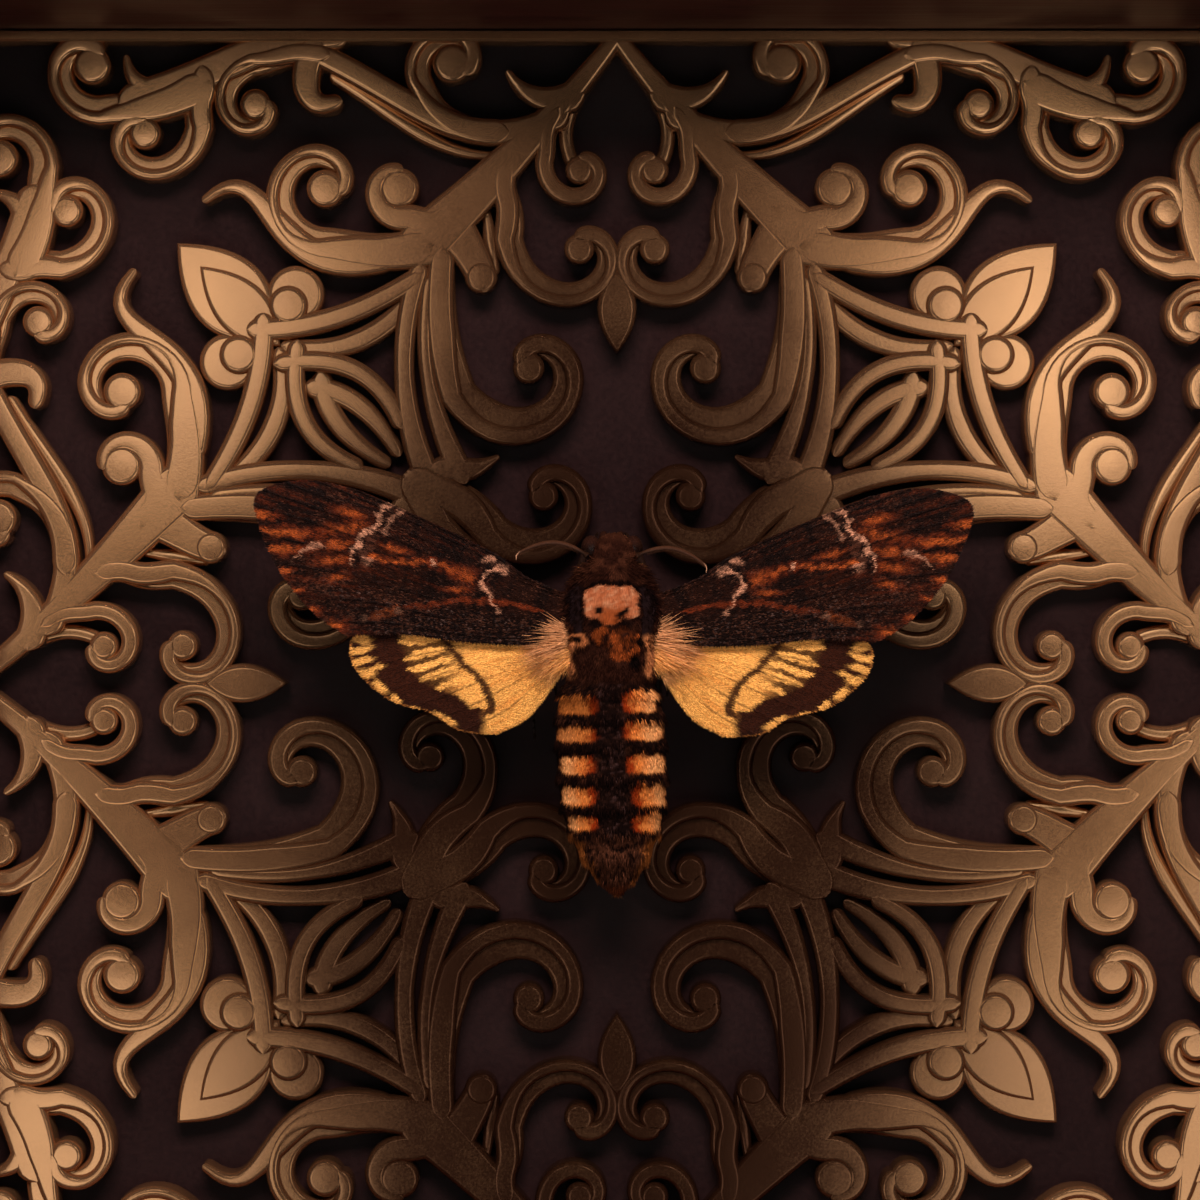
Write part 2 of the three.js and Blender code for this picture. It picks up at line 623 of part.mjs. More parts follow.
const LEAVES = {
  pendant: { from: [0, 64.5], to: [0, 51.4], halfWidth: 3.1 },
  crown: { from: [53.6, 53.6], to: [68.8, 68.8], halfWidth: 6.2 },
};
const DISCS = {
  lobe: { centre: [50.2, 60.8], radius: 4.5 },
};
const RAIL_WIDTH = 1.7;
const RAIL_OUT = OPENING / 2 - GAP;
const CURVE_STEP = 4;
const SPIRAL_STEP = 45;
const OUTLINE_TOLERANCE = 0.72;
const LEAST_HOLE = 1;

// The points of a run, one for about every step of its length.
function stepped(run) {
  return run.getPoints(Math.ceil(run.getLength() / CURVE_STEP));
}

// The centreline of a scroll: a bent run from its root, then a spiral that closes on the ball in its eye.
function scrollLine({ root, via, eye, turn: [start, sweep], reach, pull, ball }) {
  const centre = new THREE.Vector2(...eye);
  const on = (degrees, radius) => {
    const angle = THREE.MathUtils.degToRad(degrees);
    return new THREE.Vector2(Math.cos(angle), Math.sin(angle)).multiplyScalar(radius).add(centre);
  };
  const entry = on(start, reach);
  const along = new THREE.Vector2(-(entry.y - centre.y), entry.x - centre.x).multiplyScalar(Math.sign(sweep));
  const lead = entry.clone().addScaledVector(along.normalize(), -reach * 0.6);
  const run = new THREE.CubicBezierCurve(new THREE.Vector2(...root), new THREE.Vector2(...via), lead, entry);
  const line = stepped(run);
  const steps = Math.ceil(Math.abs(sweep) / SPIRAL_STEP);
  for (let i = 1; i <= steps; i += 1) {
    const share = i / steps;
    line.push(on(start + sweep * share, reach + (ball * 0.55 - reach) * share ** pull));
  }
  return line;
}

// The outline of a band about a centreline, its half width given at the root, the middle and the tip.
function bandShape(line, [rootHalf, middleHalf, tipHalf]) {
  const left = [];
  const right = [];
  line.forEach((point, i) => {
    const before = line[Math.max(0, i - 1)];
    const after = line[Math.min(line.length - 1, i + 1)];
    const across = new THREE.Vector2(-(after.y - before.y), after.x - before.x).normalize();
    const share = (2 * i) / (line.length - 1);
    const half = share < 1 ? THREE.MathUtils.lerp(rootHalf, middleHalf, share)
      : THREE.MathUtils.lerp(middleHalf, tipHalf, share - 1);
    left.push(point.clone().addScaledVector(across, half));
    right.unshift(point.clone().addScaledVector(across, -half));
  });
  return new THREE.Shape([...left, ...right]);
}

function leafShape({ from, to, halfWidth }) {
  const [a, b] = [new THREE.Vector2(...from), new THREE.Vector2(...to)];
  const middle = a.clone().lerp(b, 0.42);
  const along = b.clone().sub(a);
  const across = new THREE.Vector2(-along.y, along.x).normalize();
  const shape = new THREE.Shape();
  shape.moveTo(a.x, a.y);
  for (const sign of [1, -1]) {
    const bulge = middle.clone().addScaledVector(across, halfWidth * 2 * sign);
    const end = sign === 1 ? b : a;
    shape.quadraticCurveTo(bulge.x, bulge.y, end.x, end.y);
  }
  return shape;
}

function discShape([across, up], radius) {
  const shape = new THREE.Shape();
  shape.absarc(across, up, radius, 0, 2 * Math.PI, false);
  return shape;
}

// Stands a flat shape up as a plate of the panel, its front facing -Y.
function panelPlate(shape, curveSegments) {
  const settings = { depth: PANEL_THICKNESS, bevelEnabled: false, curveSegments };
  const plate = new THREE.ExtrudeGeometry(shape, settings).rotateX(Math.PI / 2);
  return plate.translate(0, PANEL_FRONT + PANEL_THICKNESS, 0);
}

function panelEighth() {
  const plates = [];
  for (const scroll of Object.values(SCROLLS)) {
    plates.push(panelPlate(bandShape(scrollLine(scroll), scroll.half), 1));
  }
  for (const { line, half } of Object.values(BANDS)) {
    const run = new THREE.CubicBezierCurve(...line.map(([across, up]) => new THREE.Vector2(across, up)));
    plates.push(panelPlate(bandShape(stepped(run), half), 1));
  }
  for (const leaf of Object.values(LEAVES)) plates.push(panelPlate(leafShape(leaf), 4));
  for (const { centre, radius } of Object.values(DISCS)) {
    plates.push(panelPlate(discShape(centre, radius), 5));
  }
  return joined(plates);
}

// The loops that bound the front face of a plate, as points in (across, up).
function frontLoops(solid) {
  const { vertProperties, triVerts } = solid.getMesh();
  const onFront = (vertex) => vertProperties[3 * vertex + 1] < PANEL_FRONT + 1e-3;
  const edges = new Map();
  for (let i = 0; i < triVerts.length; i += 3) {
    const corners = [...triVerts.slice(i, i + 3)];
    if (!corners.every(onFront)) continue;
    corners.forEach((from, k) => edges.set(`${from} ${corners[(k + 1) % 3]}`, [from, corners[(k + 1) % 3]]));
  }
  const next = new Map([...edges.values()].filter(([from, to]) => !edges.has(`${to} ${from}`)));
  const loops = [];
  while (next.size > 0) {
    const loop = [];
    let [vertex] = next.keys();
    while (next.has(vertex)) {
      const following = next.get(vertex);
      next.delete(vertex);
      loop.push(new THREE.Vector2(vertProperties[3 * vertex], vertProperties[3 * vertex + 2]));
      vertex = following;
    }
    loops.push(loop);
  }
  return loops;
}

// Drops, one by one, the points of a loop that stand nearest to the line between their neighbours.
function thinned(loop, tolerance) {
  const points = [...loop];
  const standing = (i) => {
    const [before, after] = [points.at(i - 1), points[(i + 1) % points.length]];
    const chord = after.clone().sub(before);
    return Math.abs(chord.cross(points[i].clone().sub(before))) / (chord.length() + 1e-9);
  };
  while (points.length > 3) {
    const heights = points.map((point, i) => standing(i));
    const least = Math.min(...heights);
    if (least > tolerance) break;
    points.splice(heights.indexOf(least), 1);
  }
  return points;
}

function squareOf(half) {
  const corners = [[-half, -half], [half, -half], [half, half], [-half, half]];
  return corners.map((place) => new THREE.Vector2(...place));
}

// The scrolls in all eight eighths, made again from their joined outline, with the straight rail around them.
function panelSolid() {
  const eighth = panelEighth();
  const quarter = eighth.add(eighth.mirror([1, 0, 0]));
  let scrolls = quarter;
  for (let turn = 90; turn < 360; turn += 90) scrolls = scrolls.add(quarter.rotate([0, turn, 0]));
  const loops = frontLoops(scrolls).map((loop) => thinned(loop, OUTLINE_TOLERANCE));
  const areas = loops.map(THREE.ShapeUtils.area);
  const outline = areas.reduce((best, area, i) => (Math.abs(area) > Math.abs(areas[best]) ? i : best), 0);
  const isHole = (loop, i) => areas[i] * areas[outline] < 0 && Math.abs(areas[i]) > LEAST_HOLE;
  const shape = new THREE.Shape(loops[outline]);
  shape.holes = loops.filter(isHole).map((loop) => new THREE.Path(loop));
  const rail = new THREE.Shape(squareOf(RAIL_OUT));
  rail.holes = [new THREE.Path(squareOf(RAIL_OUT - RAIL_WIDTH))];
  const limit = new THREE.Shape(squareOf(RAIL_OUT));
  const plates = [shape, rail, limit].map((outlined) => solidOf(panelPlate(outlined, 1)));
  return plates[0].add(plates[1]).intersect(plates[2]).translate([0, 0, CASE_CENTRE_Z]);
}

// The case: four mitred bars with a stepped front edge, and the board between them.
const LIP = { inset: 3, depth: 4 };

function barSolid(turn) {
  const front = -CASE_DEPTH / 2;
  const half = OUTER / 2;
  const profile = new THREE.Shape([
    new THREE.Vector2(front + LIP.depth, OPENING / 2),
    new THREE.Vector2(front + LIP.depth, OPENING / 2 + LIP.inset),
    new THREE.Vector2(front + 1, OPENING / 2 + LIP.inset + 1),
    new THREE.Vector2(front, OPENING / 2 + LIP.inset + 2),
    new THREE.Vector2(front, half - 1.5),
    new THREE.Vector2(front + 1.5, half),
    new THREE.Vector2(CASE_DEPTH / 2, half),
    new THREE.Vector2(CASE_DEPTH / 2, OPENING / 2),
  ]);
  const bar = new THREE.ExtrudeGeometry(profile, { depth: OUTER, bevelEnabled: false });
  bar.translate(0, 0, -half);
  bar.applyMatrix4(new THREE.Matrix4().makeBasis(
    new THREE.Vector3(0, 1, 0),
    new THREE.Vector3(0, 0, 1),
    new THREE.Vector3(1, 0, 0),
  ));
  const wedge = new THREE.Shape([
    new THREE.Vector2(0, MITRE_GAP * Math.SQRT2),
    new THREE.Vector2(half, half + MITRE_GAP * Math.SQRT2),
    new THREE.Vector2(-half, half + MITRE_GAP * Math.SQRT2),
  ]);
  const mitre = new THREE.ExtrudeGeometry(wedge, { depth: CASE_DEPTH + 2, bevelEnabled: false });
  mitre.rotateX(Math.PI / 2).translate(0, CASE_DEPTH / 2 + 1, 0);
  const solid = solidOf(bar).intersect(solidOf(mitre));
  return solid.rotate([0, turn, 0]).translate([0, 0, CASE_CENTRE_Z]);
}

function boardGeometry() {
  const side = OPENING - 2 * GAP;
  const board = new THREE.BoxGeometry(side, BOARD_THICKNESS, side);
  return board.translate(0, BOARD_FRONT + BOARD_THICKNESS / 2, CASE_CENTRE_Z);
}

// Finishes.
function finish(color, roughness, metalness = 0) {
  return new THREE.MeshStandardMaterial({ color, roughness, metalness });
}

const FINISHES = {
  darkFur: finish(0x3a2018, 0.95),
  paleFur: finish(0xd59a72, 0.95),
  greyScales: finish(0x3b3038, 0.9),
  bandedFur: finish(0xb86a2c, 0.95),
  forewingScales: finish(0x4a2a1d, 0.85),
  hindwingScales: finish(0xe0a040, 0.85),
  eye: finish(0x160c0a, 0.25),
  feeler: finish(0x7a5a44, 0.7),
  horn: finish(0x5a3420, 0.5),
  legScales: finish(0x4a3226, 0.85),
  steel: finish(0x202024, 0.4, 0.9),
  foam: finish(0x151013, 1),
  frameWood: finish(0x17100e, 0.55),
  boardPaint: finish(0x2b1d22, 0.85),
  scrollGold: finish(0xa87c52, 0.5, 0.5),
};

function node(name, shape, material) {
  const geometry = shape.isBufferGeometry ? shape : geometryOf(shape);
  const mesh = new THREE.Mesh(geometry, material);
  mesh.name = name;
  return mesh;
}

function mothGroup() {
  const moth = new THREE.Group();
  moth.position.set(MOTH_OFF_CENTRE, WING_PLANE_Y, CASE_CENTRE_Z + MOTH_ABOVE_CENTRE);
  moth.add(node("head", headSolid(), FINISHES.darkFur));
  moth.add(node("collar", roundBody(COLLAR_ROWS, TRUNK_FLATNESS, COLLAR_HIGH, 20), FINISHES.darkFur));
  moth.add(node("thorax", thoraxSolid(), FINISHES.darkFur));
  moth.add(node("skull_mark", skullSolid(), FINISHES.paleFur));
  moth.add(node("proboscis", proboscisSolid(), FINISHES.horn));

  const abdomen = node("abdomen", abdomenSolid(), FINISHES.bandedFur);
  const pivot = new THREE.Group();
  pivot.position.copy(mothPoint(ABDOMEN_OUT, ABDOMEN_START, ABDOMEN_HIGH));
  pivot.rotation.set(THREE.MathUtils.degToRad(ABDOMEN_DIP), THREE.MathUtils.degToRad(-ABDOMEN_SWAY), 0);
  abdomen.position.z = -ABDOMEN_START;
  pivot.add(abdomen);
  moth.add(pivot);

  for (const [side, sign] of Object.entries(SIDES)) {
    const forewing = wingGeometry(FOREWING, side, FOREWING_RAISED[side], WING_LAYER);
    const hindwing = wingGeometry(HINDWING, side, HINDWING_RAISED[side], -WING_LAYER);
    moth.add(node(`forewing_${side}`, forewing, FINISHES.forewingScales));
    moth.add(node(`hindwing_${side}`, hindwing, FINISHES.hindwingScales));
    moth.add(node(`tegula_${side}`, tegulaSolid(sign), FINISHES.greyScales));
    moth.add(node(`eye_${side}`, eyeGeometry(sign), FINISHES.eye));
    moth.add(node(`antenna_${side}`, antennaSolid(side), FINISHES.feeler));
    moth.add(node(`palp_${side}`, palpSolid(sign), FINISHES.darkFur));
    for (const [name, leg] of Object.entries(LEGS)) {
      const splayed = name === "hindleg" && side === "left" ? { ...leg, ...SPLAYED_HINDLEG } : leg;
      moth.add(node(`${name}_${side}`, legSolid(splayed, sign), FINISHES.legScales));
    }
  }
  moth.add(node("mount_post", postGeometry(), FINISHES.steel));
  moth.add(node("mount_block", blockGeometry(), FINISHES.foam));
  return moth;
}

function caseGroup() {
  const shell = new THREE.Group();
  const turns = { top: 0, right: 90, bottom: 180, left: 270 };
  for (const [name, turn] of Object.entries(turns)) {
    shell.add(node(`frame_${name}`, barSolid(turn), FINISHES.frameWood));
  }
  shell.add(node("back_board", boardGeometry(), FINISHES.boardPaint));
  shell.add(node("scroll_panel", panelSolid(), FINISHES.scrollGold));
  return shell;
}

const specimen = new THREE.Group();
specimen.add(mothGroup());
specimen.add(caseGroup());

export default specimen;
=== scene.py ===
"""A death's-head hawkmoth, set with its wings spread in an open-fronted case, over its solid model.

Lengths are in millimetres until a mesh is made. The moth has a frame of its own: out from its midline,
positive at the viewer's right, up towards its head, and high towards the viewer.
"""
import logging
import math
from dataclasses import dataclass, field, replace
from enum import Enum
from typing import Sequence

import bpy
import numpy as np
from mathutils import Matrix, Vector


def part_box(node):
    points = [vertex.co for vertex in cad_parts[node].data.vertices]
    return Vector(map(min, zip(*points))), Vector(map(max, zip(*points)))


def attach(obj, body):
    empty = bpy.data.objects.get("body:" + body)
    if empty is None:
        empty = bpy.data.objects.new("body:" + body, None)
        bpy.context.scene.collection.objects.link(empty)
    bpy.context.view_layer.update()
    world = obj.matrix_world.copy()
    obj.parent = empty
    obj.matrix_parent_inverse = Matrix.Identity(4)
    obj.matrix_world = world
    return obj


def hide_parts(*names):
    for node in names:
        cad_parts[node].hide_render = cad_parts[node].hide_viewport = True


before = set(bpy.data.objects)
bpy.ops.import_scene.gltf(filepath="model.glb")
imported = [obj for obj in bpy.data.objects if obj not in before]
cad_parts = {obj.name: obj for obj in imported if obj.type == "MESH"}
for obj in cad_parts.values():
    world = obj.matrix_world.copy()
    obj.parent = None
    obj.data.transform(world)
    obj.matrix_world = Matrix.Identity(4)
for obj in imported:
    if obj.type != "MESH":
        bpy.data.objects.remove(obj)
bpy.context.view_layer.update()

Array = np.ndarray
Route = Sequence[Sequence[float]]

# A millimetre in metres, where the moth's frame starts, its wings' roots and its half span.
MM = 0.001
ROOT = "root"
MOTH_PLACE = (-0.84, -1.8, 132.2)
WING_ROOT_OUT = 7.25
HALF_SPAN = 54.0
PLAN_SHARE = 0.99
DENSITY = 1.0

log = logging.getLogger("hawkmoth")


class Side(Enum):
    """A side of the moth, as the viewer sees it."""

    LEFT = -1
    RIGHT = 1

    @property
    def word(self) -> str:
        """The side's name in lower case."""
        return self.name.lower()


class WingPair(Enum):
    """Which pair a wing belongs to."""

    FORE = "forewing"
    HIND = "hindwing"


# Places, curves and draws


def linear(red: int, green: int, blue: int) -> Array:
    """A screen colour, 0 to 255, as linear light."""
    share = np.array([red, green, blue]) / 255
    return np.where(share <= 0.04045, share / 12.92, ((share + 0.055) / 1.055) ** 2.4)


def moth_to_case(points: Array) -> Array:
    """Turns the moth's (out, up, high) into the case's x, y, z."""
    place = np.array(MOTH_PLACE)
    return np.stack([points[..., 0], -points[..., 2], points[..., 1]], -1) + place


def spline(points: Route, shares: Array) -> Array:
    """Places along a smooth line through some points.

    Args:
        points: the points that the line runs through.
        shares: how far along, 0 to 1, by count of points.

    Returns:
        One place for each share.
    """
    knots = np.asarray(points, float)
    last = len(knots) - 1
    at = np.clip(np.asarray(shares, float), 0, 1) * last
    index = np.minimum(at.astype(int), last - 1)
    part = (at - index)[..., None]
    before, start = knots[np.maximum(index - 1, 0)], knots[index]
    end, after = knots[index + 1], knots[np.minimum(index + 2, last)]
    leave, arrive = (end - before) / 2, (after - start) / 2
    cubic = (2 * start - 2 * end + leave + arrive) * part**3
    square = (-3 * start + 3 * end - 2 * leave - arrive) * part**2
    return cubic + square + leave * part + start


def bezier(points: Route, count: int) -> Array:
    """Places along a cubic curve of four control points."""
    share = np.linspace(0, 1, count)[:, None]
    a, b, c, d = (np.asarray(point, float) for point in points)
    rest = 1 - share
    return a * rest**3 + 3 * b * rest**2 * share + 3 * c * rest * share**2 + d * share**3


def smooth(share: Array) -> Array:
    """Eases a share in and out between 0 and 1."""
    held = np.clip(share, 0, 1)
    return held * held * (3 - 2 * held)


def fade(value: Array, start: float, end: float) -> Array:
    """0 before start, 1 after end, eased between; start may lie above end."""
    return smooth((np.asarray(value, float) - start) / (end - start))


def unit(vectors: Array) -> Array:
    """Vectors of length one."""
    return vectors / np.maximum(np.linalg.norm(vectors, axis=-1, keepdims=True), 1e-9)


def lattice(x: Array, y: Array, seed: float) -> Array:
    """A repeatable draw, 0 to 1, for each whole-numbered place."""
    wave = np.sin(x * 127.1 + y * 311.7 + seed * 74.7) * 43758.5453
    return wave - np.floor(wave)


def cloud(x: Array, y: Array, size: float, seed: float, octaves: int = 2) -> Array:
    """Soft mottling, 0 to 1.

    Args:
        x: places across.
        y: places up.
        size: how wide its largest spots are.
        seed: which mottling it is.
        octaves: how many layers, each half as coarse.

    Returns:
        A value for each place.
    """
    total, weight = 0.0, 0.0
    for octave in range(octaves):
        scale, strength = 2**octave / size, 0.5**octave
        across, along = x * scale, y * scale
        left, low = np.floor(across), np.floor(along)
        u, v = smooth(across - left), smooth(along - low)
        corner = seed + 9.3 * octave
        bottom = lattice(left, low, corner) * (1 - u) + lattice(left + 1, low, corner) * u
        top = lattice(left, low + 1, corner) * (1 - u) + lattice(left + 1, low + 1, corner) * u
        total = total + strength * (bottom * (1 - v) + top * v)
        weight += strength
    return total / weight


def nearest(chord: Array, veins: Sequence[float]) -> Array:
    """How far each share of the chord lies from the nearest vein."""
    return np.minimum.reduce([np.abs(chord - vein) for vein in veins])


def crossed(first: Array, second: Array) -> tuple[Array, Array]:
    """Every pair of two rows of values, as two flat arrays."""
    one, other = np.meshgrid(first, second, indexing="ij")
    return one.ravel(), other.ravel()


def ball(tilt: Array, turn: Array) -> Array:
    """Places on a ball of radius one, tilted from up and turned from out."""
    return np.stack([np.sin(tilt) * np.cos(turn), np.cos(tilt), np.sin(tilt) * np.sin(turn)], -1)


def planned(across: Array, along: Array) -> Array:
    """Places on the baking plan, with room left for a blade's own patch."""
    return np.stack([across, along], -1) * PLAN_SHARE


# Painting of markings on points


def painted(red: int, green: int, blue: int) -> Array:
    """A dataclass field that holds a screen colour as linear light."""
    return field(default_factory=lambda: linear(red, green, blue))


@dataclass
class Canvas:
    """Colours laid over one another at places in the moth's own plan."""

    out: Array
    up: Array
    colours: Array = field(init=False)

    def __post_init__(self) -> None:
        """Starts black."""
        self.colours = np.zeros(self.out.shape + (3,))

    @classmethod
    def wavered(cls, out: Array, up: Array, amount: float, size: float, seed: int) -> "Canvas":
        """A canvas whose places stray a little, so that painted edges come out ragged."""
        across, along = (amount * (cloud(out, up, size, seed + layer) - 0.5) for layer in (0, 1))
        return cls(out + across, up + along)

    def lay(self, mask: Array | float, colour: Array) -> None:
        """Lays a colour where the mask says."""
        share = np.clip(np.broadcast_to(mask, self.out.shape), 0, 1)[..., None]
        self.colours = self.colours * (1 - share) + colour * share

    def shade(self, factor: Array) -> None:
        """Makes the colours darker or lighter."""
        self.colours = self.colours * np.asarray(factor)[..., None]

    def spot(
        self, centre: Sequence[float], radii: Sequence[float], lean: float = 0, soft: float = 0.35,
    ) -> Array:
        """How far each place lies in a leaning oval: 1 inside, 0 outside.

        Args:
            centre: its centre in (out, up).
            radii: its half length and half width.
            lean: how far its length is turned up from the out direction, in degrees.
            soft: the share of its radius over which it fades.

        Returns:
            A mask value for each place.
        """
        angle = math.radians(lean)
        across, along = self.out - centre[0], self.up - centre[1]
        first = (across * math.cos(angle) + along * math.sin(angle)) / radii[0]
        second = (along * math.cos(angle) - across * math.sin(angle)) / radii[1]
        return fade(np.hypot(first, second), 1 + soft, 1 - soft)

    def stroke(self, route: Route, half: Sequence[float], soft: float = 0.3) -> Array:
        """How far each place lies in a painted line.

        Args:
            route: points that it runs through, in (out, up).
            half: its half widths, spread evenly along it.
            soft: how wide its edge is.

        Returns:
            A mask value for each place.
        """
        shares = np.linspace(0, 1, 8 * len(route))
        line = spline(route, shares)
        halves = np.interp(shares, np.linspace(0, 1, len(half)), half)
        inside = np.full(self.out.shape, -np.inf)
        for start, end, first, last in zip(line[:-1], line[1:], halves[:-1], halves[1:]):
            step = end - start
            across, along = self.out - start[0], self.up - start[1]
            share = np.clip((across * step[0] + along * step[1]) / (step @ step + 1e-9), 0, 1)
            distance = np.hypot(across - share * step[0], along - share * step[1])
            inside = np.maximum(inside, first + (last - first) * share - distance)
        return fade(inside, -soft / 2, soft / 2)

    def dab(
        self, share: Array | float, colour: Array, centre: Sequence[float], radii: Sequence[float],
        lean: float = 0, soft: float = 0.35,
    ) -> None:
        """Lays a share of a colour in an oval that is given as for spot."""
        self.lay(share * self.spot(centre, radii, lean, soft), colour)

    def brush(
        self, share: Array | float, colour: Array, route: Route, half: Sequence[float], soft: float = 0.3,
    ) -> None:
        """Lays a share of a colour along a line that is given as for stroke."""
        self.lay(share * self.stroke(route, half, soft), colour)

    def ovals(self, ovals: Sequence[tuple], soft: float) -> Array:
        """How far each place lies in any of some ovals."""
        return np.maximum.reduce([self.spot(*oval, soft) for oval in ovals])


# Meshes


def make_piece(
    name: str,
    points: Array,
    faces: Sequence[Array],
    material: bpy.types.Material,
    colours: Array | None = None,
    bake: Array | None = None,
    crease: float | None = None,
) -> bpy.types.Object:
    """Makes one mesh object that rides with the specimen.

    Args:
        name: the piece's name.
        points: its points in the case's frame, in millimetres.
        faces: arrays of faces, each with as many columns as its faces have corners.
        material: its finish.
        colours: a colour for each point, or None.
        bake: a place on the baking plan for each point, or None.
        crease: the angle in degrees past which edges stay sharp, or None for none.

    Returns:
        The new object.
    """
    mesh = bpy.data.meshes.new(name)
    corners = np.concatenate([part.ravel() for part in faces]).astype(np.int32)
    counts = np.concatenate([np.full(len(part), part.shape[1]) for part in faces])
    starts = np.concatenate([[0], np.cumsum(counts)[:-1]]).astype(np.int32)
    mesh.vertices.add(len(points))
    mesh.vertices.foreach_set("co", (points * MM).astype(np.float32).ravel())
    mesh.loops.add(len(corners))
    mesh.loops.foreach_set("vertex_index", corners)
    mesh.polygons.add(len(counts))
    mesh.polygons.foreach_set("loop_start", starts)
    mesh.update(calc_edges=True)
    mesh.polygons.foreach_set("use_smooth", np.ones(len(counts), bool))
    if crease is not None:
        mesh.set_sharp_from_angle(angle=math.radians(crease))
    if colours is not None:
        layer = mesh.color_attributes.new("marking", "FLOAT_COLOR", "POINT")
        covered = np.column_stack([colours, np.ones(len(points))])
        layer.data.foreach_set("color", covered.astype(np.float32).ravel())
    if bake is not None:
        plan = mesh.uv_layers.new(name="OFBake")
        plan.data.foreach_set("uv", bake[corners].astype(np.float32).ravel())
    mesh.materials.append(material)
    piece = bpy.data.objects.new(name, mesh)
    bpy.context.scene.collection.objects.link(piece)
    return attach(piece, ROOT)


def grid_faces(rows: int, columns: int, wrap: bool = False) -> Array:
    """The four-cornered faces of a grid of points.

    Args:
        rows: how many rows of points.
        columns: how many points in a row.
        wrap: whether each row closes on itself.

    Returns:
        One row of four point numbers for each face.
    """
    across = columns if wrap else columns - 1
    row, column = np.meshgrid(np.arange(rows - 1), np.arange(across), indexing="ij")
    a = row * columns + column
    b = row * columns + (column + 1) % columns
    return np.stack([a, b, b + columns, a + columns], -1).reshape(-1, 4)


def capped_grid(rows: int, around: int) -> list[Array]:
    """The faces of a grid whose rows are closed rings, with a cap on its first and its last ring."""
    ring = np.arange(around)[None]
    return [grid_faces(rows, around, wrap=True), ring[:, ::-1], ring + (rows - 1) * around]


@dataclass
class Assembly:
    """Points and faces gathered from many closed shapes."""

    points: list[Array] = field(default_factory=list)
    faces: dict[int, list[Array]] = field(default_factory=dict)
    colours: list[Array] = field(default_factory=list)
    count: int = 0

    def add(self, points: Array, faces: Sequence[Array], colours: Array | None = None) -> None:
        """Adds a shape whose faces count from its own first point."""
        self.points.append(points)
        for part in faces:
            self.faces.setdefault(part.shape[1], []).append(part + self.count)
        if colours is not None:
            self.colours.append(np.broadcast_to(colours, points.shape))
        self.count += len(points)

    def add_tube(self, line: Array, radii: Array, sides: int, colours: Array, flat: float = 1.0) -> None:
        """Adds a tube along a line in the moth's frame."""
        points, faces = tube(line, radii, sides, flat)
        self.add(moth_to_case(points), faces, colours)

    def piece(self, name: str, material: bpy.types.Material, crease: float | None = None) -> bpy.types.Object:
        """Makes one piece of all that was added."""
        faces = [np.concatenate(parts) for parts in self.faces.values()]
        colours = np.concatenate(self.colours) if self.colours else None
        return make_piece(name, np.concatenate(self.points), faces, material, colours, crease=crease)


def frames_along(line: Array) -> tuple[Array, Array, Array]:
    """The direction of a line at each point, with two directions square to it that don't twist."""
    tangent = unit(np.gradient(line, axis=0))
    normal = np.empty_like(line)
    carried = unit(np.cross(tangent[0], [0.0, 1.0, 0.3]))
    for i, direction in enumerate(tangent):
        carried = unit(carried - direction * (carried @ direction))
        normal[i] = carried
    return tangent, normal, np.cross(tangent, normal)


def tube(line: Array, radii: Array, sides: int, flat: float = 1.0) -> tuple[Array, list[Array]]:
    """A closed tube along a line.

    Args:
        line: its centreline.
        radii: its radius at each point of the line.
        sides: how many points go round it.
        flat: its thickness as a share of its width.

    Returns:
        Its points and its faces.
    """
    _, normal, binormal = frames_along(line)
    angle = np.linspace(0, 2 * math.pi, sides, endpoint=False)
    cosine, sine = np.cos(angle)[None, :, None], np.sin(angle)[None, :, None]
    ring = normal[:, None] * cosine + binormal[:, None] * flat * sine
    points = (line[:, None] + ring * radii[:, None, None]).reshape(-1, 3)
    points = np.concatenate([points, line[:1], line[-1:]])
    walls = grid_faces(len(line), sides, wrap=True)[:, ::-1]
    index = np.arange(sides)
    after, last = (index + 1) % sides, (len(line) - 1) * sides
    start = np.stack([np.full(sides, len(points) - 2), index, after], -1)[:, ::-1]
    end = np.stack([np.full(sides, len(points) - 1), last + after, last + index], -1)[:, ::-1]
    return points, [walls, start, end]


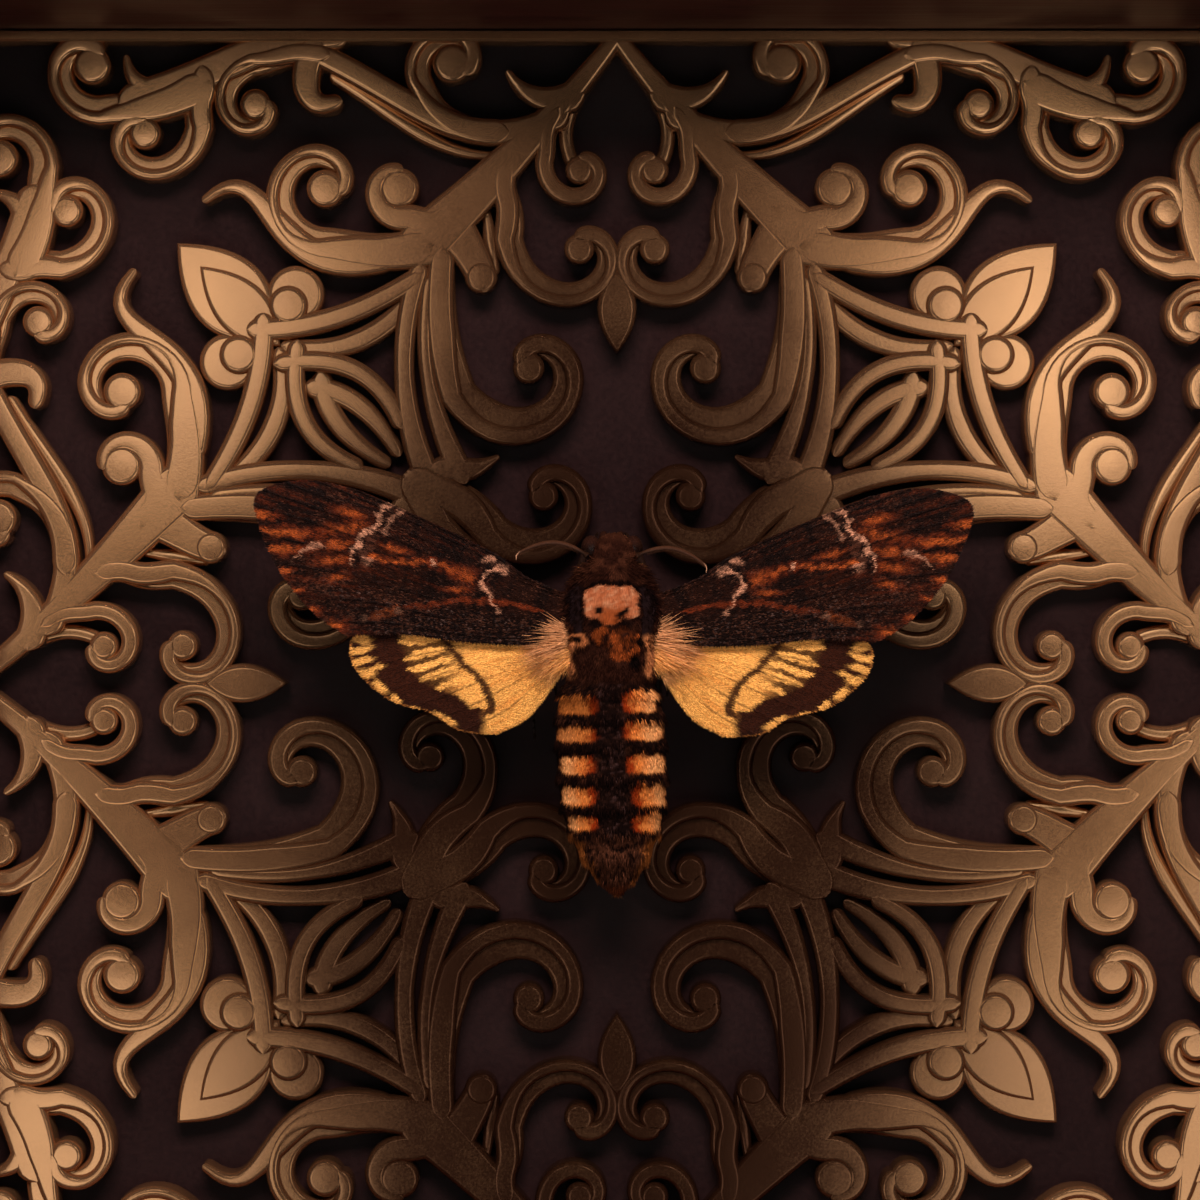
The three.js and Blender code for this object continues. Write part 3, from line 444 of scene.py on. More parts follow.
@dataclass
class Tufts:
    """Closed, tapered blades of hair or scale, rooted on a surface and lying along it.

    Every field has one row for each blade. Lengths are in millimetres and angles in degrees.
    """

    root: Array
    normal: Array
    lie: Array
    length: Array
    half_width: Array
    lift: Array
    colour: Array
    plan: Array
    curl: float = 0.6
    joints: int = 2
    thick: float = 0.35
    sink: float = 0.12
    belly: float = 1.0
    root_shade: float = 0.55
    tip_shade: float = 1.15

    # How much of the baking plan a blade takes, and the power at which it narrows.
    PATCH = 0.003
    TAPER = 0.6

    def piece(self, name: str, material: bpy.types.Material) -> bpy.types.Object:
        """Makes one piece of all the blades."""
        count = len(self.root)
        normal = unit(self.normal)
        lie = unit(self.lie - normal * np.sum(self.lie * normal, -1, keepdims=True))
        side = np.cross(normal, lie)
        place = self.root - normal * self.sink
        lift = np.radians(self.lift)
        step = (self.length / self.joints)[:, None]
        rings, colours, plans = [], [], []
        for joint in range(self.joints + 1):
            share = joint / self.joints
            shade = self.root_shade + (self.tip_shade - self.root_shade) * share
            if joint < self.joints:
                waist = 1 if joint else 1 / self.belly
                width = (self.half_width * (1 - share) ** self.TAPER * waist)[:, None]
                ridge = place + normal * width * self.thick * 2
                corners = [place - side * width, place + side * width, ridge]
            else:
                corners = [place]
            for number, corner in enumerate(corners):
                rings.append(corner)
                colours.append(self.colour * shade)
                plans.append(self.plan + np.array([number / 2, share]) * self.PATCH)
            heading = (lift * (1 - self.curl * share))[:, None]
            place = place + (lie * np.cos(heading) + normal * np.sin(heading)) * step
        per = len(rings)
        points = np.stack(rings, 1).reshape(-1, 3)
        walls, caps = [], [[0, 1, 2]]
        for joint in range(self.joints - 1):
            for a, b in ((0, 1), (1, 2), (2, 0)):
                walls.append([3 * joint + a, 3 * joint + 3 + a, 3 * joint + 3 + b, 3 * joint + b])
        last = 3 * (self.joints - 1)
        caps += [[last + a, per - 1, last + b] for a, b in ((0, 1), (1, 2), (2, 0))]
        offset = (np.arange(count) * per)[:, None, None]
        faces = [(np.array(shape)[None] + offset).reshape(-1, len(shape[0])) for shape in (walls, caps)]
        paint = np.stack(colours, 1).reshape(-1, 3)
        plan = np.stack(plans, 1).reshape(-1, 2)
        return make_piece(name, moth_to_case(points), faces, material, paint, plan)


# Finishes


class Value:
    """A node's output that can be used in arithmetic; each operator adds its Math node."""

    def __init__(self, sheet: "NodeSheet", socket: bpy.types.NodeSocket | None) -> None:
        """Wraps one socket, or none for the node that closes a material."""
        self.sheet = sheet
        self.socket = socket

    def maths(self, operation: str, other: "Value | float | None" = None, swapped: bool = False) -> "Value":
        """One Math node on this value and, where given, another."""
        inputs = {0: self} if other is None else {0: self, 1: other}
        if swapped:
            inputs = {0: other, 1: self}
        return self.sheet.node("ShaderNodeMath", {"operation": operation}, inputs)

    def __add__(self, other: "Value | float") -> "Value":
        """The sum."""
        return self.maths("ADD", other)

    __radd__ = __add__

    def __mul__(self, other: "Value | float") -> "Value":
        """The product."""
        return self.maths("MULTIPLY", other)

    __rmul__ = __mul__

    def __sub__(self, other: "Value | float") -> "Value":
        """The difference."""
        return self.maths("SUBTRACT", other)

    def __rsub__(self, other: float) -> "Value":
        """A number less this value."""
        return self.maths("SUBTRACT", other, swapped=True)

    def __pow__(self, other: float) -> "Value":
        """This value raised to a power."""
        return self.maths("POWER", other)


class NodeSheet:
    """A material that is being drawn up, with one way to add a node."""

    def __init__(self, name: str) -> None:
        """Starts an empty material."""
        self.material = bpy.data.materials.new(name)
        self.material.use_nodes = True
        self.tree = self.material.node_tree
        self.tree.nodes.clear()

    def node(
        self,
        kind: str,
        settings: dict[str, object] | None = None,
        inputs: dict[int | str, object] | None = None,
        output: int | str = 0,
    ) -> Value:
        """Adds a node.

        Args:
            kind: the node's type.
            settings: what is set on it first.
            inputs: a value or a link for each socket named or numbered.
            output: which of its outputs is wanted.

        Returns:
            That output.
        """
        made = self.tree.nodes.new(kind)
        for key, setting in (settings or {}).items():
            setattr(made, key, setting)
        for key, value in (inputs or {}).items():
            if isinstance(value, Value):
                self.tree.links.new(value.socket, made.inputs[key])
            else:
                made.inputs[key].default_value = value
        return Value(self, made.outputs[output] if made.outputs else None)

    def noise(self, size: float, detail: float = 3.0, stretch: Sequence[float] = (1, 1, 1)) -> Value:
        """Mottling in the object's own space.

        Args:
            size: how wide its spots are, in millimetres.
            detail: how many finer layers it has.
            stretch: how many times longer its spots are along x, y and z.

        Returns:
            Its strength.
        """
        place = self.node("ShaderNodeTexCoord", output="Object")
        squeeze = tuple(1 / (size * MM * factor) for factor in stretch)
        scaled = self.node("ShaderNodeVectorMath", {"operation": "MULTIPLY"}, {0: place, 1: squeeze})
        return self.node("ShaderNodeTexNoise", None, {"Vector": scaled, "Scale": 1.0, "Detail": detail})

    def grey(self, factor: Value, low: float, high: float) -> Value:
        """A factor stretched so that low gives 0 and high gives 1."""
        inputs = {"Value": factor, "From Min": low, "From Max": high}
        return self.node("ShaderNodeMapRange", {"clamp": True}, inputs)

    def mix(self, factor: Value | float, first: object, second: object, blend: str = "MIX") -> Value:
        """Two colours mixed."""
        settings = {"data_type": "RGBA", "blend_type": blend}
        return self.node("ShaderNodeMix", settings, {0: factor, 6: first, 7: second}, output=2)

    def marking(self) -> Value:
        """The colour painted on the mesh's points."""
        return self.node("ShaderNodeAttribute", {"attribute_name": "marking"}, output="Color")

    def tinted(self, dimmed: Value) -> Value:
        """The painted colour with its brightness varied."""
        tint = self.node("ShaderNodeCombineColor", None, {0: dimmed, 1: dimmed, 2: dimmed})
        return self.mix(1.0, self.marking(), tint, "MULTIPLY")

    def bump(self, height: Value, depth: float) -> Value:
        """A relief of some depth in millimetres."""
        inputs = {"Height": height, "Distance": depth * MM, "Strength": 1.0}
        return self.node("ShaderNodeBump", None, inputs)

    def finish(self, **sockets: object) -> bpy.types.Material:
        """Closes the material with its shader, whose sockets are named with underscores for spaces."""
        inputs = {key.replace("_", " "): value for key, value in sockets.items()}
        shader = self.node("ShaderNodeBsdfPrincipled", None, inputs)
        self.node("ShaderNodeOutputMaterial", None, {"Surface": shader})
        return self.material


def rgba(colour: Array) -> tuple[float, float, float, float]:
    """A linear colour with full cover."""
    return (float(colour[0]), float(colour[1]), float(colour[2]), 1.0)


@dataclass(frozen=True)
class CoatFinish:
    """Hair or scale, coloured by its markings, with a dry sheen."""

    name: str
    roughness: float = 0.7
    sheen: float = 0.0
    fleck: float = 0.35
    fleck_size: float = 0.25
    specular: float = 0.05

    def material(self) -> bpy.types.Material:
        """Draws up the finish."""
        sheet = NodeSheet(self.name)
        fleck = sheet.grey(sheet.noise(self.fleck_size), 0.3, 0.7)
        colour = sheet.tinted(fleck * self.fleck + (1 - self.fleck / 2))
        rough = fleck * 0.16 + (self.roughness - 0.08)
        return sheet.finish(
            Base_Color=colour, Roughness=rough, Sheen_Weight=self.sheen, Sheen_Roughness=0.45,
            Specular_IOR_Level=self.specular,
        )


@dataclass(frozen=True)
class SkinFinish:
    """Skin and wing membrane under the coat: the same markings with a fine pelt in the bump."""

    name: str
    depth: float = 0.08
    grain: float = 0.22
    roughness: float = 0.75
    stretch: tuple[float, float, float] = (1.0, 1.0, 1.0)

    def material(self) -> bpy.types.Material:
        """Draws up the finish."""
        sheet = NodeSheet(self.name)
        pelt = sheet.noise(self.grain, 4.0, self.stretch)
        shade = sheet.grey(pelt, 0.3, 0.7)
        colour = sheet.tinted(shade * 0.5 + 0.7)
        rough = shade * 0.1 + self.roughness
        return sheet.finish(
            Base_Color=colour, Roughness=rough, Normal=sheet.bump(pelt, self.depth), Specular_IOR_Level=0.05,
        )


@dataclass(frozen=True)
class GiltFinish:
    """Grainy copper-gold paint that turns to bronze in places, with painted shade that darkens it towards the
    panel's middle.
    """

    name: str = "scroll_gilt"
    bright: tuple[int, int, int] = (232, 176, 124)
    bronze: tuple[int, int, int] = (92, 60, 42)
    roughness: float = 0.165
    metal: float = 0.9
    # Where the painted shade in the middle is centred, and how far it reaches across and up.
    shade_middle_up: float = 88.0
    reach: tuple[float, float] = (70.0, 150.0)

    def material(self) -> bpy.types.Material:
        """Draws up the finish."""
        sheet = NodeSheet(self.name)
        grain = sheet.noise(0.35, 3.0)
        patina = sheet.noise(14.0, 3.0)
        place = sheet.node("ShaderNodeTexCoord", output="Object")
        across = sheet.node("ShaderNodeSeparateXYZ", None, {0: place}, output="X")
        height = sheet.node("ShaderNodeSeparateXYZ", None, {0: place}, output="Z") - self.shade_middle_up * MM
        across, height = across * (1 / (self.reach[0] * MM)), height * (1 / (self.reach[1] * MM))
        # Painted shade: the gilt is painted darker, towards bronze, nearer the panel's middle, where it lies
        # in dim light; patina and grain add random patches of bronze.
        rim = sheet.grey((across * across + height * height) ** 0.5, 0.5, 1.1)
        patina_and_shade = sheet.grey(rim * 0.9 + (patina - 0.5) * 0.5 + (grain - 0.5) * 0.4, 0.0, 0.95)
        colour = sheet.mix(patina_and_shade, rgba(linear(*self.bronze)), rgba(linear(*self.bright)))
        rough = (grain - 0.5) * 0.08 + (patina - 0.5) * 0.05 + (1 - rim) * 0.04 + self.roughness
        return sheet.finish(
            Base_Color=colour, Roughness=rough, Metallic=self.metal, Normal=sheet.bump(grain, 0.004),
        )


@dataclass(frozen=True)
class PaintFinish:
    """Matt paint, card or foam with a grain."""

    name: str
    colour: tuple[int, int, int]
    worn: tuple[int, int, int]
    grain: float = 0.6
    depth: float = 0.05
    roughness: float = 0.85
    stretch: tuple[float, float, float] = (1.0, 1.0, 1.0)
    metal: float = 0.0

    def material(self) -> bpy.types.Material:
        """Draws up the finish."""
        sheet = NodeSheet(self.name)
        grain = sheet.noise(self.grain, 4.0, self.stretch)
        stain = sheet.noise(self.grain * 22, 3.0, self.stretch)
        wear = sheet.grey(grain * 0.5 + stain * 0.5, 0.35, 0.68)
        colour = sheet.mix(wear, rgba(linear(*self.colour)), rgba(linear(*self.worn)))
        rough = (grain - 0.5) * 0.3 + self.roughness
        return sheet.finish(
            Base_Color=colour, Roughness=rough, Metallic=self.metal, Normal=sheet.bump(grain, self.depth),
        )


@dataclass(frozen=True)
class HornFinish:
    """Smooth dark horn of eyes, feelers and mouth parts."""

    name: str
    roughness: float = 0.35
    coat: float = 0.0
    facet: float = 0.0

    def material(self) -> bpy.types.Material:
        """Draws up the finish."""
        sheet = NodeSheet(self.name)
        grain = sheet.noise(0.3, 3.0)
        colour = sheet.tinted(sheet.grey(grain, 0.3, 0.7) * 0.4 + 0.8)
        height, depth = grain, 0.03
        if self.facet:
            place = sheet.node("ShaderNodeTexCoord", output="Object")
            inputs = {"Vector": place, "Scale": 1 / (self.facet * MM)}
            height, depth = sheet.node("ShaderNodeTexVoronoi", {"feature": "F1"}, inputs), self.facet * 0.25
        rough = (grain - 0.5) * 0.12 + self.roughness
        return sheet.finish(
            Base_Color=colour, Roughness=rough, Coat_Weight=self.coat, Normal=sheet.bump(height, depth),
        )


# The wings


@dataclass(frozen=True)
class WingPlan:
    """A wing's outline in (out, up), and its main veins by their share of the chord."""

    leading: Route
    margin: Route
    trailing: Route
    veins: Sequence[float]
    cell: Sequence[float]

    def place(self, span: Array, chord: Array) -> Array:
        """Where a share of the span and of the chord lies in the plan."""
        s, c = span[..., None], chord[..., None]
        root = np.array(self.leading[0]) * (1 - c) + np.array(self.trailing[0]) * c
        tip = np.array(self.margin[0]) * (1 - c) + np.array(self.margin[-1]) * c
        sides = spline(self.leading, span) * (1 - c) + spline(self.trailing, span) * c
        ends = root * (1 - s) + spline(self.margin, chord) * s
        return sides + ends - (root * (1 - s) + tip * s)


FOREWING_PLAN = WingPlan(
    leading=((WING_ROOT_OUT, 1.9), (13.2, 4.3), (18.2, 7.9), (30.2, 13.4), (37.8, 16.6)),
    margin=(
        (37.8, 16.6), (45.4, 18.1), (51.4, 17.3), (HALF_SPAN, 15.0), (52.6, 9.6), (49.7, 4.0), (44.9, -1.6),
        (40.0, -4.9),
    ),
    trailing=((WING_ROOT_OUT, -4.4), (13.3, -5.9), (22.4, -5.6), (31.3, -4.6), (40.0, -4.9)),
    veins=(0.03, 0.12, 0.23, 0.34, 0.45, 0.56, 0.67, 0.79, 0.91),
    cell=(0, 0, 0.52, 0.52, 0.56, 0.56, 0.5, 0.4, 0),
)
HINDWING_PLAN = WingPlan(
    leading=((WING_ROOT_OUT, -4.7), (17.0, -1.9), (28.0, -1.4), (36.6, -3.2)),
    margin=(
        (36.6, -3.2), (39.2, -6.2), (38.3, -10.4), (33.2, -14.8), (27.0, -16.6), (22.9, -19.1), (17.6, -19.7),
    ),
    trailing=((WING_ROOT_OUT, -9.9), (8.9, -12.3), (12.6, -17.0), (17.6, -19.7)),
    veins=(0.05, 0.19, 0.33, 0.46, 0.59, 0.72, 0.86),
    cell=(0, 0, 0.45, 0.5, 0.45, 0.3, 0),
)


@dataclass(frozen=True)
class ForewingMarkings:
    """The upper side of a forewing: dark and frosted, with rust streaks and two cream lines."""

    ground: Array = painted(35, 17, 11)
    black: Array = painted(17, 10, 9)
    frost: Array = painted(96, 60, 44)
    rust: Array = painted(106, 44, 20)
    ember: Array = painted(190, 96, 42)
    cream: Array = painted(196, 144, 114)
    under: Array = painted(190, 140, 84)

    # Lines and spots in (out, up), each with its half widths or radii.
    FIRST_LINE = (
        (15.6, 4.6), (17.0, 5.0), (18.6, 4.5), (19.5, 3.4), (19.2, 2.3), (18.2, 1.3), (17.8, 0.2),
        (17.1, -1.0),
    )
    FIRST_BLOBS = (((16.5, 5.4), (1.0, 0.75)), ((18.3, 6.6), (1.1, 0.75)))
    SECOND_LINE = (
        (33.0, 14.8), (34.6, 14.0), (35.4, 13.0), (34.9, 12.0), (36.4, 10.9), (38.2, 9.9), (38.1, 8.7),
        (39.2, 7.4), (39.4, 5.6),
    )
    SECOND_INNER = ((31.6, 13.9), (33.0, 12.9), (33.5, 12.0), (33.6, 11.0), (34.4, 10.4))
    OUTER_LINE = ((43.4, 8.3), (45.2, 8.3), (46.4, 7.5), (48.0, 6.2))
    RUST_PATCHES = (
        ((22.0, 4.1), (2.2, 1.1), 20), ((25.2, 5.4), (2.4, 0.6), 25), ((39.2, 13.3), (2.4, 0.8), 10),
        ((40.1, 11.2), (3.2, 0.9), -4), ((41.8, 8.6), (2.8, 0.8), -6), ((42.0, 6.2), (2.4, 0.6), -8),
        ((41.3, 3.8), (1.8, 0.6), -12), ((33.0, 8.1), (2.4, 0.5), 12), ((23.4, 2.0), (1.6, 0.3), 0),
    )
    MARGIN_STREAKS = (
        ((52.3, 13.0), (2.0, 0.65), 5), ((48.6, 10.3), (5.0, 0.75), 2), ((49.0, 7.7), (3.1, 0.65), -6),
        ((49.2, 4.4), (1.5, 0.45), -12), ((47.2, 1.4), (1.2, 0.45), -18), ((44.6, -1.5), (1.2, 0.6), -25),
        ((41.2, -3.6), (1.9, 0.9), -20),
    )
    RUST_LINE = (
        (10.5, -1.0), (14.0, 0.0), (18.0, 0.3), (22.0, 0.45), (26.2, -0.1), (31.7, -1.1), (36.0, -2.2),
    )
    DISC_STREAK = ((27.8, 5.9), (32.0, 6.2), (36.6, 6.7))
    DISC_SPOT = ((27.1, 6.06), (0.42, 0.48))

    def colours(self, out: Array, up: Array, span: Array, chord: Array) -> Array:
        """The colour at each place.

        Args:
            out: how far out it lies in the unturned wing.
            up: how far up it lies.
            span: its share of the wing's span.
            chord: its share of the chord.

        Returns:
            Linear colours.
        """
        canvas = Canvas.wavered(out, up, 1.1, 0.9, 3)
        streaks = cloud(span * 9, chord * 52, 1.0, 5)
        bars = cloud(out * 0.9 + up * 0.35, up * 0.12, 1.6, 6)
        between = nearest(chord, FOREWING_PLAN.veins)
        canvas.lay(1.0, self.ground)
        canvas.lay(0.75 * fade(bars, 0.5, 0.7), self.black)
        canvas.lay(0.45 * fade(streaks, 0.55, 0.8) * fade(span, 0.15, 0.5), self.rust * 0.55)
        outer = fade(span, 0.62, 0.95) * fade(between, 0.0, 0.045)
        canvas.lay(0.4 * outer * fade(streaks, 0.35, 0.6), self.rust * 0.8)
        for centre, radii, lean in self.RUST_PATCHES:
            canvas.dab(0.9, self.rust, centre, [1.15 * r for r in radii], lean, 0.7)
            canvas.dab(0.45, self.ember, centre, [0.7 * r for r in radii], lean, 0.8)
        canvas.brush(0.9, self.rust, self.RUST_LINE, (0.15, 0.35, 0.55, 0.5, 0.4, 0.5, 0.75))
        canvas.brush(0.9, self.ember, self.RUST_LINE[-2:], (0.35, 0.65, 0.4), 0.5)
        canvas.brush(1.0, self.rust, self.DISC_STREAK, (0.4, 0.5, 0.55), 0.5)
        canvas.brush(0.8, self.ember, self.DISC_STREAK, (0.15, 0.2, 0.35), 0.5)
        for centre, radii, lean in self.MARGIN_STREAKS:
            middle = (centre[0] + 0.35 * radii[0], centre[1])
            canvas.dab(1.0, self.rust, centre, [1.1 * r for r in radii], lean, 0.6)
            canvas.dab(0.75, self.ember, middle, [0.7 * r for r in radii], lean, 0.7)
        self.lay_lines(canvas)
        below = fade(chord, 0.62, 0.74) * fade(span, 0.93, 0.8)
        canvas.lay(0.8 * below * fade(up, 0.2, -1.6), self.black)
        along_edge = fade(chord, 0.3, 0.05) * fade(span, 0.55, 0.8)
        self.lay_frost(canvas, out, up, below, along_edge)
        canvas.lay(0.6 * fade(between, 0.014, 0.0) * fade(span, 0.45, 0.6), self.black)
        canvas.lay(0.7 * fade(cloud(out, up, 0.42, 9), 0.5, 0.72) * fade(span, 0.1, 0.3), self.black)
        canvas.shade(0.72 + 0.56 * cloud(out, up, 0.5, 8, 1))
        return canvas.colours

    @staticmethod
    def moved(route: Route, across: float, along: float) -> list[tuple[float, float]]:
        """The same line, moved in the plan."""
        return [(x + across, y + along) for x, y in route]

    def lay_lines(self, canvas: Canvas) -> None:
        """The cream lines with their dark shadows, and the spot in the cell."""
        first, second = self.FIRST_LINE, self.SECOND_LINE
        canvas.brush(0.85, self.black, self.moved(first, 0.9, -0.2), (0.3, 0.3, 0.25))
        canvas.brush(1.0, self.cream, first, (0.3, 0.4, 0.34, 0.26, 0.22, 0.18, 0.12, 0.08))
        for centre, radii in self.FIRST_BLOBS:
            canvas.dab(0.9, self.cream * 0.85, centre, [0.8 * r for r in radii], 20, 0.5)
        canvas.brush(0.9, self.black, ((16.0, 6.4), (17.5, 5.7), (18.6, 5.5)), (0.15, 0.22, 0.15))
        canvas.dab(0.8, self.ground * 1.7, (32.6, 14.0), (1.9, 0.7), 24)
        canvas.brush(0.9, self.black, self.moved(second, -0.8, -0.1), (0.35, 0.3, 0.25))
        canvas.brush(1.0, self.cream, second, (0.6, 0.5, 0.34, 0.34, 0.38, 0.3, 0.36, 0.3, 0.12))
        canvas.brush(0.8, self.cream * 0.8, self.SECOND_INNER, (0.32, 0.36, 0.24, 0.34, 0.2))
        canvas.brush(0.45, self.frost, self.moved(second[4:], -1.9, -0.1), (0.5, 0.7, 0.4))
        canvas.brush(0.85, self.cream * 0.9, self.OUTER_LINE, (0.2, 0.34, 0.22, 0.12))
        canvas.dab(0.6, self.cream, (36.9, 6.2), (0.9, 0.5), 10)
        canvas.dab(1.0, self.cream * 0.85, (31.9, -1.1), (0.8, 0.35), -15)
        canvas.dab(0.9, self.cream * 0.7, (37.3, -2.3), (0.5, 0.5))
        canvas.dab(1.0, self.cream * 0.7, (17.2, -1.0), (0.45, 0.55))
        canvas.dab(0.9, self.rust, self.DISC_SPOT[0], (0.85, 0.95))
        canvas.dab(1.0, self.cream * 1.2, *self.DISC_SPOT, soft=0.2)

    def lay_frost(self, canvas: Canvas, out: Array, up: Array, below: Array, along_edge: Array) -> None:
        """The pale scales strewn over the dark parts, most thickly near the trailing and leading edges."""
        grain = lattice(np.round(out * 6.1), np.round(up * 6.1), 12)
        amount = 0.06 + 0.2 * fade(cloud(out, up, 2.6, 14), 0.5, 0.8) + 0.2 * below + 0.25 * along_edge
        amount = amount + 0.12 * fade(out, 37, 40) * fade(up, 5, 0)
        canvas.lay(0.38 * (grain < amount), self.frost)
        pale = lattice(np.round(out * 5.3), np.round(up * 5.3), 17)
        canvas.lay(0.35 * (pale < 0.06) * below, linear(106, 88, 82))


@dataclass(frozen=True)
class HindwingMarkings:
    """The upper side of a hindwing: golden, with a narrow band, pointed rays and a broad dark border."""

    gold: Array = painted(255, 196, 104)
    honey: Array = painted(236, 160, 76)
    pink: Array = painted(226, 180, 152)
    dark: Array = painted(54, 27, 17)
    # The brown of the painted shade in the creases near the root.
    fold: Array = painted(176, 112, 56)
    under: Array = painted(214, 164, 98)

    # The narrow band, the broad border's inner edge, rays as (start, end, half width) and pale spots.
    BAND = (
        (25.4, -5.0), (24.1, -6.8), (22.0, -9.4), (19.6, -11.4), (18.3, -13.8), (17.8, -15.8), (19.0, -16.9),
    )
    BORDER_IN = (
        (32.6, -3.6), (31.9, -6.0), (31.2, -8.4), (30.4, -10.3), (28.8, -11.8), (26.2, -13.0), (23.4, -14.0),
        (21.0, -15.9),
    )
    RAYS = (
        ((26.5, -5.2), (32.0, -6.0), 0.75), ((25.7, -6.9), (31.3, -8.5), 0.62),
        ((24.6, -8.5), (30.5, -10.3), 0.56), ((23.3, -9.9), (28.9, -11.7), 0.55),
        ((21.9, -11.3), (26.4, -13.0), 0.52),
    )
    OVALS = (((21.3, -13.2), (1.9, 1.25), -25), ((20.1, -15.1), (1.5, 0.65), -25))
    MARGIN_SPOTS = (
        ((37.6, -5.6), (1.6, 0.75), 10), ((38.2, -7.4), (2.3, 0.6), -12), ((37.9, -9.0), (2.2, 0.55), -14),
        ((37.0, -10.8), (1.5, 0.7), 10), ((34.8, -12.9), (1.3, 0.7), 35), ((32.4, -14.7), (1.0, 0.6), 35),
        ((29.2, -16.1), (1.0, 0.4), 15), ((24.9, -17.5), (2.1, 0.6), 26), ((35.2, -9.9), (1.2, 0.4), -15),
    )

    def colours(self, out: Array, up: Array, span: Array, chord: Array) -> Array:
        """The colour at each place.

        Args:
            out: how far out it lies in the unturned wing.
            up: how far up it lies.
            span: its share of the wing's span.
            chord: its share of the chord.

        Returns:
            Linear colours.
        """
        canvas = Canvas.wavered(out, up, 0.7, 0.8, 23)
        streaks = cloud(span * 5, chord * 46, 1.0, 25)
        canvas.lay(1.0, self.gold)
        canvas.lay(0.6 * fade(streaks, 0.45, 0.8), self.honey)
        away, bearing = np.hypot(out - 6, up + 6), np.arctan2(up + 6, out - 6)
        # Painted shade: brown laid in streaks along the creases that fan out near the root.
        crease_shade = cloud(bearing * 15, away * 0.12, 1.0, 27, 3)
        canvas.lay(0.28 * fade(crease_shade, 0.56, 0.7) * fade(away, 20, 13) * fade(away, 5, 9), self.fold)
        canvas.lay(0.4 * fade(away, 8, 2), self.pink)
        route = spline(self.BORDER_IN, np.linspace(0, 1, 60))
        order = np.argsort(-route[:, 1])
        inner = np.interp(-canvas.up, -route[order, 1], route[order, 0])
        inner = np.where(canvas.up < self.BORDER_IN[-1][1], 19.4, inner)
        canvas.lay(fade(canvas.out - inner, -1.4, 0.4), self.dark)
        between_rays = fade(canvas.out, 21, 26) * fade(canvas.up, -4.5, -6.5) * fade(canvas.up, -15.5, -13.5)
        canvas.lay(0.92 * between_rays, self.dark)
        for start, end, half in self.RAYS:
            canvas.brush(1.0, self.gold, (start, end), (half * 0.8, half, half * 0.9, 0.12))
        for oval in self.OVALS:
            canvas.dab(1.0, self.gold, *oval, 0.2)
        canvas.brush(0.95, self.dark, self.BAND, (0.35, 0.58, 0.5, 0.5, 0.52, 0.6, 0.4), 0.6)
        for oval in self.MARGIN_SPOTS:
            canvas.dab(0.95, self.gold * 0.95, *oval, 0.3)
        veins = fade(nearest(chord, HINDWING_PLAN.veins), 0.012, 0.0)
        canvas.lay(0.5 * veins * fade(span, 0.45, 0.6), self.dark)
        canvas.lay(0.35 * fade(span, 0.97, 1.0), self.honey)
        canvas.shade(0.93 + 0.14 * cloud(out, up, 0.4, 28, 1))
        return canvas.colours


